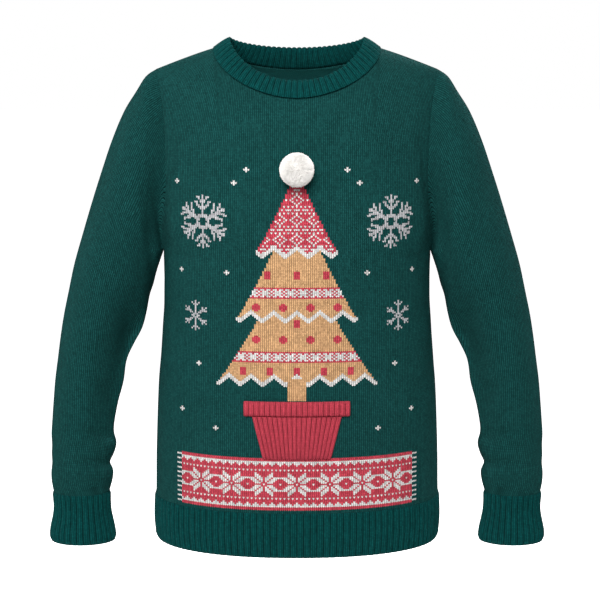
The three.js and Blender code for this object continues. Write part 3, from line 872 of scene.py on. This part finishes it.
def makeFront():
    chartRows, reach = chart["topRow"], chart["halfColumns"]
    grid = panelRows(-1, frontAcross, chartRows, panels["frontUpperRows"], stitch["course"])
    rows, columns = grid.shape[0] - 1, grid.shape[1] - 1
    own = np.empty((rows, columns, 4), np.float32)
    own[:] = yarns["green"]
    for row in range(chartRows):
        for column in range(-reach, reach + 1):
            own[row, columns // 2 + column] = yarns[stitchYarn(column, row)]
    below = np.concatenate([own[:1], own[:-1]])
    outer, inner = panelShell(-1, grid, body["frontCreases"])
    stitches = panelStitches(grid, chartRows, stitch["course"])
    piece, slots = clothPiece("frontPanel", outer, inner, stitches, False, 1, 4, (own, below))
    return finishPiece(piece, slots, [chartedWool, greenInside], "front_panel")


def makeBack():
    rows, courseStep = panels["backRows"], stitch["course"] * panels["backCourses"]
    grid = panelRows(1, backAcross, rows, panels["backUpperRows"], courseStep)
    outer, inner = panelShell(1, grid, body["backCreases"])
    stitches = panelStitches(grid, rows, courseStep)
    piece, slots = clothPiece("backPanel", outer, inner, stitches, False, -1, 1)
    return finishPiece(piece, slots, [greenWool, greenInside], "back_panel")


frontPanel = makeFront()
backPanel = makeBack()
print("front and back made")


# Sleeves and cuffs

sleeve = {
    "around": 96,
    "spacing": 3.4,
    # The inner side falls away from the front at the elbow
    "pinchAt": [0, 6.6, 8.4, 10.4, 11.6, 18.5, 22],
    "pinch": [0, 0.06, 0.42, 0.9, 0.84, 0.1, 0],
    "pinchTurn": 161,
    "pinchWidth": 42,
    # The top's stitches lie on a straight tube, drawn back from section straightFrom along the
    # outer edge, and by section straightTo they are spread round the arm itself
    "capRadius": 60,
    "straightFrom": 2,
    "straightTo": 9,
    "lead": 70,           # how far that tube is drawn back
    "headingRows": 4,     # rows of the mesh that give its direction
    "samples": 2400,
    "creaseFade": 8,      # how near a seam the creases start to die away
    "edgeCalm": 0.85,     # share by which they are flatter along the outer and the inner edge
    "edgeWidth": 24,      # and within how many degrees of it
    "outerX": [203.3, 215.7, 232.7, 249.7, 264.2, 278.2, 291.7, 304.1, 313.1, 320.1, 325.1, 329.1,
               333.1, 335.6, 337.6, 338.6, 338.1, 338.6, 338.1, 339.5, 339, 336.5],
    "outerZ": [-35, -54, -81, -120, -161, -203, -246, -287, -326, -358, -388, -418, -448, -478, -506,
               -522, -536, -549, -562, -575, -588, -602],
    "innerX": [183, 184, 185.5, 187.5, 190, 193, 197, 202.5, 207, 213.5, 225, 235, 239.5, 247, 252,
               252.5, 249.5, 252.5, 258, 254, 255.5, 259.5],
    "innerZ": [-272, -275, -279, -285, -293, -304, -317, -333, -355, -378, -401, -424, -452, -480, -507,
               -522, -536, -549, -562, -575, -588, -602],
    "halfDepth": [55, 58, 60, 60, 60, 59, 58, 57, 55, 53, 50, 48, 46, 43, 41, 39, 38, 36, 34, 34, 33, 30],
    "forward": [0, 1, 2, 3, 3, 3, 2, 1, 1, 2, 4, 7, 10, 14, 18, 20, 21, 22, 24, 25, 26, 27],
    # section0, angle0, section1, angle1, height, width in mm; 0 is the outer edge, 90 the front
    "creases": [
        (10.6, 172, 7.8, 112, -6, 17), (9.0, 178, 6.4, 140, 4, 13), (12.8, 160, 12.0, 104, -3.5, 12),
        (5.2, 172, 1.6, 118, -4, 15), (5.0, 188, 1.8, 244, -5, 15), (10.4, 190, 8.2, 262, -6, 14),
        (18.0, 175, 17.4, 95, -3, 8), (15.2, 172, 14.2, 84, -3, 10), (18.2, 185, 17.2, 275, -3, 9),
        (14.6, 188, 15.6, 280, -3, 11), (20.5, 150, 20.7, 62, -2.2, 6), (20.5, 210, 20.6, 290, -2.2, 6),
    ],
}
creaseScale = {"section": 27, "turn": 0.87}  # mm along for each section and around for each degree

cuff = {
    "ribs": 30,
    "thickness": 2.8,
    "spacing": 4,
    "outerX": [336.5, 335.5, 341, 341],
    "outerZ": [-602, -628, -657, -670.5],
    "innerX": [259.5, 259, 253.5, 252.5],
    "innerZ": [-602, -628, -657, -670.5],
    "halfDepth": [30, 29, 32.5, 33],
    "forward": [27, 28, 29, 29],
}


def sectionRings(table, angles):
    rings = []
    columns = (table[k] for k in ("outerX", "outerZ", "innerX", "innerZ", "halfDepth", "forward"))
    for outerX, outerZ, innerX, innerZ, halfDepth, forward in zip(*columns):
        middle = np.array([(outerX + innerX) / 2, -forward, (outerZ + innerZ) / 2])
        reach = np.array([(outerX - innerX) / 2, 0, (outerZ - innerZ) / 2])
        ring = middle + np.cos(angles)[:, None] * reach
        ring[:, 1] -= halfDepth * np.sin(angles)
        rings.append(ring)
    return rings


def armholeRing(angles):
    middle = (body["shoulderTipZ"] + body["underarmZ"]) / 2
    half = (body["shoulderTipZ"] - body["underarmZ"]) / 2
    z = middle + half * np.cos(angles)
    front, back = bodyPoint(-1, 1.0, z), bodyPoint(1, 1.0, z)
    ring = np.where((np.sin(angles) >= 0)[:, None], front, back)
    ring[:, 0] += seamClearance
    return ring


def ringsBetween(rings, spacing):
    # More rings through the given ones, about a spacing apart
    rings = np.array(rings)
    gaps = np.linalg.norm(np.diff(rings, axis=0), axis=-1).mean(1)
    knots = np.concatenate([[0], np.cumsum(gaps)])
    at, index = [0.0], [0.0]
    for k, gap in enumerate(gaps):
        count = max(2, int(round(gap / spacing)))
        at.extend(knots[k] + gap * np.arange(1, count + 1) / count)
        index.extend(k + np.arange(1, count + 1) / count)
    return curveThrough(knots, rings, np.array(at)), np.array(index)


def tubeStitches(grid, index):
    # Columns of stitches run along the arm, spread round it from the underarm seam
    grid = closeRows(grid)
    half = grid.shape[1] // 2
    around = runLength(grid, 1)
    around = around - around[:, [-1]] / 2
    down = runLength(grid, 0)

    # They run as the sleeve's outer edge does, so that the armhole seam cuts across them
    lead, radius = sleeve["lead"], sleeve["capRadius"]
    edge = grid[:, half][:, [0, 2]]
    firstRow = int(np.searchsorted(index, sleeve["straightFrom"]))
    heading = unit(edge[firstRow + sleeve["headingRows"]] - edge[firstRow])
    line = np.concatenate([edge[[firstRow]] - heading * lead, edge[firstRow:]])
    downLine = np.concatenate([[down[firstRow, half] - lead], down[firstRow:, half]])
    corners = np.arange(len(line))
    fine = np.linspace(0, 1, sleeve["samples"]) * (len(line) - 1)
    finePoints = np.stack([np.interp(fine, corners, line[:, k]) for k in range(2)], -1)
    fineDown = np.interp(fine, corners, downLine)
    gaps = np.linalg.norm(grid[..., [0, 2]][:, :, None] - finePoints, axis=-1)
    turn = np.abs(np.arctan2(grid[..., 1] - grid[:, [0], 1], radius - gaps.min(-1)))
    turn[:, :half] *= -1
    blend = sleeve["straightTo"] - sleeve["straightFrom"] - 1
    share = np.clip((sleeve["straightTo"] - index) / blend, 0, 1)
    share = (share * share * (3 - 2 * share))[:, None]
    around = around * (1 - share) + radius * turn * share
    return np.stack([around / stitch["wale"] + 0.5, -fineDown[gaps.argmin(-1)] / stitch["course"]], -1)


def onSide(grid, side):
    return grid * np.array([side, 1, 1])


def makeSleeve(side, name, node):
    angles = math.pi + np.arange(sleeve["around"]) / sleeve["around"] * 2 * math.pi
    degrees = np.degrees(angles) % 360
    grid, index = ringsBetween([armholeRing(angles)] + sectionRings(sleeve, angles), sleeve["spacing"])
    grid[-1, :, 2] += seamClearance / 2
    grid = sinkArmpit(grid)
    pinch = curveThrough(sleeve["pinchAt"], sleeve["pinch"], index)[:, None]
    pinch = pinch * np.exp(-(((degrees - sleeve["pinchTurn"]) / sleeve["pinchWidth"]) ** 2))
    forward = grid[..., 1] - grid[:, [0], 1]
    grid[..., 1] -= np.where(forward < 0, forward * pinch, 0)
    normals = gridNormals(grid, True)

    scale = [creaseScale["section"], creaseScale["turn"]]
    lines = np.array(sleeve["creases"]) * np.array(scale * 2 + [1, 1])
    height = crease((index - 1)[:, None] * scale[0], degrees[None, :] * scale[1], lines)
    length = runLength(grid, 0)
    toEnds = np.minimum(length, length[[-1], :] - length)
    height = height * np.clip(toEnds / sleeve["creaseFade"], 0, 1)
    fromEdge = np.abs((degrees + 90) % 180 - 90)
    height = height * (1 - sleeve["edgeCalm"] * np.exp(-((fromEdge / sleeve["edgeWidth"]) ** 2)))
    outer = rollEdges(grid + normals * height[..., None], normals, toEnds)
    inner = grid + normals * (height - body["thickness"])[..., None]
    inner[0] = grid[0] - normals[0] * np.array([0, 1, 1]) * body["thickness"]
    stitches = tubeStitches(grid, index)
    piece, slots = clothPiece(name, onSide(outer, side), onSide(inner, side), stitches, True, side, 2)
    return finishPiece(piece, slots, [greenWool, greenInside], node)


def ribProfile(count):
    # Height of the ribs round a strip, 1 on a crown and 0 in a groove, starting in a groove
    phase = (np.arange(count * rib["pointsEach"] + 1) / rib["pointsEach"]) % 1
    return np.sin(np.pi * phase) ** rib["profile"]


def ribbedShell(grid, normals, ribs, thickness, hemRow):
    # The ribs stand out of the outer face and are faint inside; hemRow is the cast-on edge
    share = np.linspace(0, 1, len(grid))[:, None]
    fade = np.clip(np.minimum(share, 1 - share) / rib["endShare"], rib["endRelief"], 1)
    profile = ribProfile(ribs)[: grid.shape[1]]
    outer = grid + normals * (rib["relief"] * profile * fade)[..., None]
    outer[hemRow] -= normals[hemRow] * rib["hemPull"]
    inner = grid - normals * (thickness - rib["insideRelief"] * (1 - profile) * fade)[..., None]
    return outer, inner


def ribStitches(grid, closed, pointsEach):
    # Stitch coordinates of a ribbed strip that starts in a groove
    up = runLength(grid, 0)
    up = (closeRows(up) if closed else up) / stitch["course"]
    across = np.arange(up.shape[1]) / pointsEach * rib["walesEach"]
    return np.stack([np.broadcast_to(across, up.shape), up], -1)


def makeCuff(side, name, node):
    count = cuff["ribs"] * rib["pointsEach"]
    grid, _ = ringsBetween(sectionRings(cuff, np.arange(count) / count * 2 * math.pi), cuff["spacing"])
    grid[0, :, 2] -= seamClearance / 2
    outer, inner = ribbedShell(grid, gridNormals(grid, True), cuff["ribs"], cuff["thickness"], -1)
    stitches = ribStitches(grid, True, rib["pointsEach"]) * np.array([1, -1])
    piece, slots = clothPiece(name, onSide(outer, side), onSide(inner, side), stitches, True, side, 2)
    return finishPiece(piece, slots, [ribWool, greenInside], node)


sleeveRight = makeSleeve(1, "sleeveRight", "sleeve_right")
sleeveLeft = makeSleeve(-1, "sleeveLeft", "sleeve_left")
cuffRight = makeCuff(1, "cuffRight", "cuff_right")
cuffLeft = makeCuff(-1, "cuffLeft", "cuff_left")
print("sleeves and cuffs made")


# Hem rib

hem = {"ribs": 58, "thickness": 2.8, "rows": 15, "samples": 900}


def makeHem(side, name, node):
    shares = np.linspace(0, 1, hem["ribs"] * rib["pointsEach"] + 1)
    fine = np.sin(np.linspace(-0.5, 0.5, hem["samples"]) * math.pi)
    heights = np.linspace(body["hemZ"], body["ribTopZ"] - seamClearance / 2, hem["rows"])
    grid = np.array([spreadAlong(bodyPoint(side, fine, z), shares) for z in heights])
    grid[..., 1] += side * body["seamGap"] / 2
    normals = gridNormals(grid, False) * -side
    outer, inner = ribbedShell(grid, normals, hem["ribs"], hem["thickness"], 0)
    stitches = ribStitches(grid, False, rib["pointsEach"])
    piece, slots = clothPiece(name, outer, inner, stitches, False, -side, 2)
    return finishPiece(piece, slots, [ribWool, greenInside], node)


hemFront = makeHem(-1, "hemRibFront", "hem_rib_front")
hemBack = makeHem(1, "hemRibBack", "hem_rib_back")
print("hem rib made")


# Neckband

neckband = {
    "ribs": 74,
    "samples": 700,
    "topScaleX": 0.826,
    "topScaleY": 0.85,
    "topZ": 15.4,
    "frontDrop": 56.4,
    "backDrop": 13.4,
    "power": 2.1,
    "root": 1.5,
    "sideReach": 38,     # the band is rounder and flatter where it passes over the shoulders
    "sideFlatter": 0.36,
    "sideThicker": 1.1,
    # From the inner foot, over the folded edge, down to the outer foot: share of the height,
    # distance inwards from the seam's surface, share of the rib's relief
    "section": [
        (0.012, 0.2, 0.2), (0.05, 1.1, 0.35), (0.16, 1.75, 0.5), (0.32, 2.0, 0.55),
        (0.5, 2.0, 0.55), (0.68, 1.8, 0.55), (0.84, 1.3, 0.6), (0.95, 0.5, 0.7), (1.0, -0.7, 0.75),
        (0.985, -1.9, 0.7), (0.9, -2.9, 0.75), (0.74, -3.3, 0.85), (0.5, -3.4, 0.85),
        (0.28, -3.4, 0.8), (0.1, -3.4, 0.5), (-0.1, -3.6, 0.1), (-0.13, -3.2, 0.0),
        (-0.1, -2.7, 0.0), (0.0, -2.2, 0.0),
    ],
    "foldFrom": 0.9,     # above this share the ribs also raise the folded edge
    "foldRelief": 0.8,
}


def neckSeamRing(count):
    x = body["neckHalfWidth"] * np.cos(np.linspace(0, math.pi, neckband["samples"]))
    front, back = (
        bodyPoint(side, x / edgeHalfWidth(neckSeamZ(x, side)), neckSeamZ(x, side)) for side in (-1, 1)
    )
    return spreadAlong(np.concatenate([front, back[::-1][1:]]), np.arange(count) / count)


def makeNeckband():
    foot = neckSeamRing(neckband["ribs"] * rib["pointsEach"])
    drop = np.where(foot[:, 1] < 0, neckband["frontDrop"], neckband["backDrop"])
    rise = dome(foot[:, 0] / body["neckHalfWidth"], neckband["power"], neckband["root"])
    top = foot * np.array([neckband["topScaleX"], neckband["topScaleY"], 1])
    top[:, 2] = neckband["topZ"] - drop * rise
    height = np.linalg.norm(top - foot, axis=-1, keepdims=True)
    up = (top - foot) / height
    inwards = unit(np.cross(np.roll(foot, -1, 0) - np.roll(foot, 1, 0), up))
    profile = ribProfile(neckband["ribs"])[:-1, None] * rib["relief"]
    atSide = np.exp(-((foot[:, [1]] / neckband["sideReach"]) ** 2))
    flatter, thicker = 1 - neckband["sideFlatter"] * atSide, 1 + neckband["sideThicker"] * atSide
    rings = []
    for share, away, relief in neckband["section"]:
        # Within 1 mm of the seam's surface the ribs stand neither inwards nor outwards
        direction = np.sign(away) if abs(away) > 1 else 0.0
        away = away * (thicker if away > 0 else flatter)
        relief = relief * (flatter if direction < 0 else 1)
        ring = foot + up * height * share + inwards * (away + direction * profile * relief)
        if share > neckband["foldFrom"]:
            ring = ring + up * profile * neckband["foldRelief"]
        rings.append(ring)
    return closedBand("neckbandRibbed", np.array(rings))


def closedBand(name, grid):
    # A ring-shaped solid from closed sections
    rows, columns = grid.shape[:2]
    stitches = ribStitches(grid, True, rib["pointsEach"])
    faces, uvs = [], []
    for i in range(rows):
        for j in range(columns):
            here, above = i * columns, (i + 1) % rows * columns
            beside, uvRow = (j + 1) % columns, min(i + 1, rows - 1)
            faces.append([here + j, here + beside, above + beside, above + j])
            uvs += [stitches[i, j], stitches[i, j + 1], stitches[uvRow, j + 1], stitches[uvRow, j]]
    piece = newPiece(name, grid.reshape(-1, 3), faces, uvs)
    return finishPiece(piece, np.zeros(len(faces), int), [ribWool], "neckband", 60)


neckbandPiece = makeNeckband()
print("neckband made")


# Ribbed pot and its turned rim, sewn on the front

patch = {
    "pointsEach": 6, "profile": 0.8, "relief": 0.95,
    "edge": 0.55, "edgePoints": 3,  # share of the thickness at the upright edges, and its rise inwards
}
# In a section: share of the height, and how far the face stands out, as a share of the thickness
pot = {
    "topZ": -477.3, "bottomZ": -533.5, "topHalf": 59, "bottomHalf": 45,
    "ribs": 18, "thickness": 2.4, "rows": 17,
    "section": [(0, 0.55), (0.06, 0.95), (0.15, 1), (1, 1)],
}
potRim = {
    "topZ": -457, "bottomZ": -477, "topHalf": 70, "bottomHalf": 70,
    "ribs": 20, "thickness": 4.6, "rows": 13,
    "section": [(0, 0.3), (0.08, 0.72), (0.2, 0.95), (0.5, 1.05), (0.8, 0.95), (0.92, 0.72), (1, 0.3)],
}


def frontSurface(x, z):
    # Point of the front's cloth and the way it faces
    def at(px, pz):
        p = bodyPoint(-1, px / edgeHalfWidth(pz), pz)
        p[..., 1] -= body["seamGap"] / 2
        return p
    near = 2
    sideways, upwards = at(x + near, z) - at(x - near, z), at(x, z + near) - at(x, z - near)
    return at(x, z), unit(np.cross(sideways, upwards))


def makePatch(name, node, sizes):
    points = sizes["ribs"] * patch["pointsEach"]
    share = np.linspace(0, 1, sizes["rows"])[:, None]
    half = sizes["bottomHalf"] + (sizes["topHalf"] - sizes["bottomHalf"]) * share
    x = half * np.linspace(-1, 1, points + 1)
    z = np.broadcast_to(sizes["bottomZ"] + (sizes["topZ"] - sizes["bottomZ"]) * share, x.shape)
    base, normals = frontSurface(x, z)
    lift = np.interp(share, *zip(*sizes["section"]))
    along = np.arange(points + 1)
    profile = np.sin(np.pi * ((along / patch["pointsEach"]) % 1)) ** patch["profile"]
    side = np.clip(patch["edge"] + np.minimum(along, points - along) / patch["edgePoints"], 0, 1)
    height = sizes["thickness"] * lift * side + rib["relief"] * patch["relief"] * profile * lift
    outer = base + normals * (body["seamGap"] + height)[..., None]
    inner = base + normals * body["seamGap"]
    stitches = ribStitches(outer, False, patch["pointsEach"])
    piece, slots = clothPiece(name, outer, inner, stitches, False, 1, 2)
    return finishPiece(piece, slots, [redWool], node)


potPiece = makePatch("potRibbed", "pot_patch", pot)
rimPiece = makePatch("potRim", "pot_rim", potRim)
print("pot made")


# Pompom

pompom = {
    "z": -155, "radius": 23, "core": 18.5, "flatten": 0.86,
    "pressed": 2.2,      # how far the front presses into it
    "clear": 0.6,        # and what its strands leave free there
    "strands": 8200, "width": 0.62, "rootIn": 1.5, "tipIn": 0.9,
    "scatter": 0.03, "uneven": 0.28, "lean": 0.55, "seed": 12,
}


def takeMesh(primitive):
    # Points and faces of a primitive, which is then removed
    points = np.array([v.co[:] for v in primitive.data.vertices])
    faces = [list(p.vertices) for p in primitive.data.polygons]
    bpy.data.objects.remove(primitive, do_unlink=True)
    return points, faces


def makePompom():
    random = np.random.default_rng(pompom["seed"])
    flat = np.array([1, pompom["flatten"], 1])
    seat, facing = frontSurface(np.array(0.0), np.array(float(pompom["z"])))
    middle = seat + facing * (pompom["radius"] * np.linalg.norm(facing * flat) - pompom["pressed"])

    bpy.ops.object.select_all(action="DESELECT")
    bpy.ops.mesh.primitive_ico_sphere_add(subdivisions=4, radius=pompom["core"] * millimetre)
    corePoints, faces = takeMesh(bpy.context.object)
    # A strand of length and width 1, narrower at its tip
    bpy.ops.mesh.primitive_cone_add(
        vertices=3, radius1=0.5, radius2=0.34, depth=1, end_fill_type="NGON", location=(0, 0, 0.5))
    bpy.ops.object.transform_apply(location=True, rotation=False, scale=False)
    strandPoints, strandFaces = takeMesh(bpy.context.object)

    count = pompom["strands"]
    k = np.arange(count) + 0.5
    polar = np.arccos(1 - 2 * k / count)
    turn = math.pi * (1 + 5**0.5) * k
    out = np.stack([np.cos(turn) * np.sin(polar), np.sin(turn) * np.sin(polar), np.cos(polar)], -1)
    out = unit(out + random.normal(0, pompom["scatter"], out.shape))
    side = unit(np.cross(out, np.array([0.31, 0.52, 0.79])))
    other = np.cross(out, side)
    root = pompom["core"] - pompom["rootIn"]
    tip = pompom["radius"] - pompom["tipIn"] + random.normal(0, pompom["uneven"], count)
    inwards = -(out * flat) @ facing
    room = (middle - seat) @ facing - pompom["clear"]
    tip = np.where(inwards > 0, np.minimum(tip, room / np.maximum(inwards, 0.01)), tip)
    lean = random.normal(0, pompom["lean"], (count, 2))
    points = [corePoints / millimetre]
    for x, y, z in strandPoints:
        place = out * (root + (tip - root) * z)[:, None]
        place = place + side * (x * pompom["width"] + lean[:, :1] * z)
        points.append(place + other * (y * pompom["width"] + lean[:, 1:] * z))
    start = len(corePoints)
    for n in range(count):
        for ring in strandFaces:
            faces.append([start + v * count + n for v in ring])
    piece = newPiece("pompomTufts", np.concatenate(points) * flat + middle, faces)
    finishPiece(piece, np.zeros(len(faces), int), [whitePile], "pompom", 40)


def makeWhitePile():
    material, tree, shader = startMaterial("whitePile", 0.8, 0.3, (1, 0.98, 0.96, 1))
    place = tree.nodes.new("ShaderNodeTexCoord").outputs["Object"]
    ramp = tree.nodes.new("ShaderNodeValToRGB")
    tones = ((0.3, (224, 222, 219)), (0.7, (249, 247, 244)))
    for element, (position, tone) in zip(ramp.color_ramp.elements, tones):
        element.position = position
        element.color = fromScreen(*tone)
    tree.links.new(noiseNode(tree, place, 240, 3.0, 0.6), ramp.inputs[0])
    tree.links.new(ramp.outputs[0], shader.inputs["Base Color"])
    return material


whitePile = makeWhitePile()
makePompom()
print("pompom made")


# Floor, light and camera

studio = {
    "floorZ": -1.25,
    "floorSize": 60,
    "backdrop": 1.0,  # glow of floor and surroundings as the camera sees them
    "ambient": 0.06,  # and the light that the surroundings give
    "aim": (0, 0, -0.3),
    "lights": {  # place, size and power
        "key": ((-0.3, -1.9, 1.15), 1.3, 103),
        "sideLeft": ((-1.7, -0.5, -0.1), 0.9, 5),
        "sideRight": ((1.7, -0.5, -0.1), 0.9, 3.5),
        "rear": ((0.6, 1.6, 1.2), 1.2, 80),
        "rearLeft": ((-1.7, 1.0, 0.1), 1.0, 22),
        "rearRight": ((1.7, 1.0, 0.1), 1.0, 22),
    },
}
view = {"target": (0.0041, 0, -0.3396), "distance": 2.2, "elevation": 9, "lens": 96, "sensor": 36}


def seenByCamera(tree):
    return tree.nodes.new("ShaderNodeLightPath").outputs["Is Camera Ray"]


def makeFloor():
    bpy.ops.mesh.primitive_plane_add(size=studio["floorSize"], location=(0, 0, studio["floorZ"]))
    floor = bpy.context.object
    floor.name = "floor"
    material = bpy.data.materials.new("paleFloor")
    material.use_nodes = True
    tree = material.node_tree
    shader = tree.nodes["Principled BSDF"]
    setInputs(shader, {
        "Base Color": (0.86, 0.86, 0.86, 1), "Roughness": 0.9, "Specular IOR Level": 0.0,
        "Emission Color": (1, 1, 1, 1),
    })
    glow = mathNode(tree, "MULTIPLY", seenByCamera(tree), studio["backdrop"])
    tree.links.new(glow, shader.inputs["Emission Strength"])
    floor.data.materials.append(material)


def makeWorld():
    world = bpy.data.worlds.new("studioWorld")
    world.use_nodes = True
    tree = world.node_tree
    background = tree.nodes["Background"]
    setInputs(background, {"Color": (1, 1, 1, 1)})
    brighter = studio["backdrop"] - studio["ambient"]
    strength = mathNode(tree, "MULTIPLY_ADD", seenByCamera(tree), brighter, studio["ambient"])
    tree.links.new(strength, background.inputs["Strength"])
    bpy.context.scene.world = world


def addSoftbox(name, place, size, power):
    data = bpy.data.lights.new(name, "AREA")
    data.energy = power
    data.size = size
    lamp = bpy.data.objects.new(name, data)
    lamp.location = place
    aim = Vector(studio["aim"]) - Vector(place)
    lamp.rotation_euler = aim.to_track_quat("-Z", "Y").to_euler()
    bpy.context.scene.collection.objects.link(lamp)


makeFloor()
makeWorld()
for lightName, (place, size, power) in studio["lights"].items():
    addSoftbox(lightName + "Light", place, size, power)

cameraData = bpy.data.cameras.new("camera")
cameraData.lens, cameraData.sensor_width = view["lens"], view["sensor"]
camera = bpy.data.objects.new("camera", cameraData)
raised = math.radians(view["elevation"])
back = Vector((0, -math.cos(raised), math.sin(raised)))
camera.location = Vector(view["target"]) + back * view["distance"]
camera.rotation_euler = (-back).to_track_quat("-Z", "Y").to_euler()
bpy.context.scene.collection.objects.link(camera)
bpy.context.scene.camera = camera
bpy.context.scene.view_settings.view_transform = "Standard"
print("studio made")
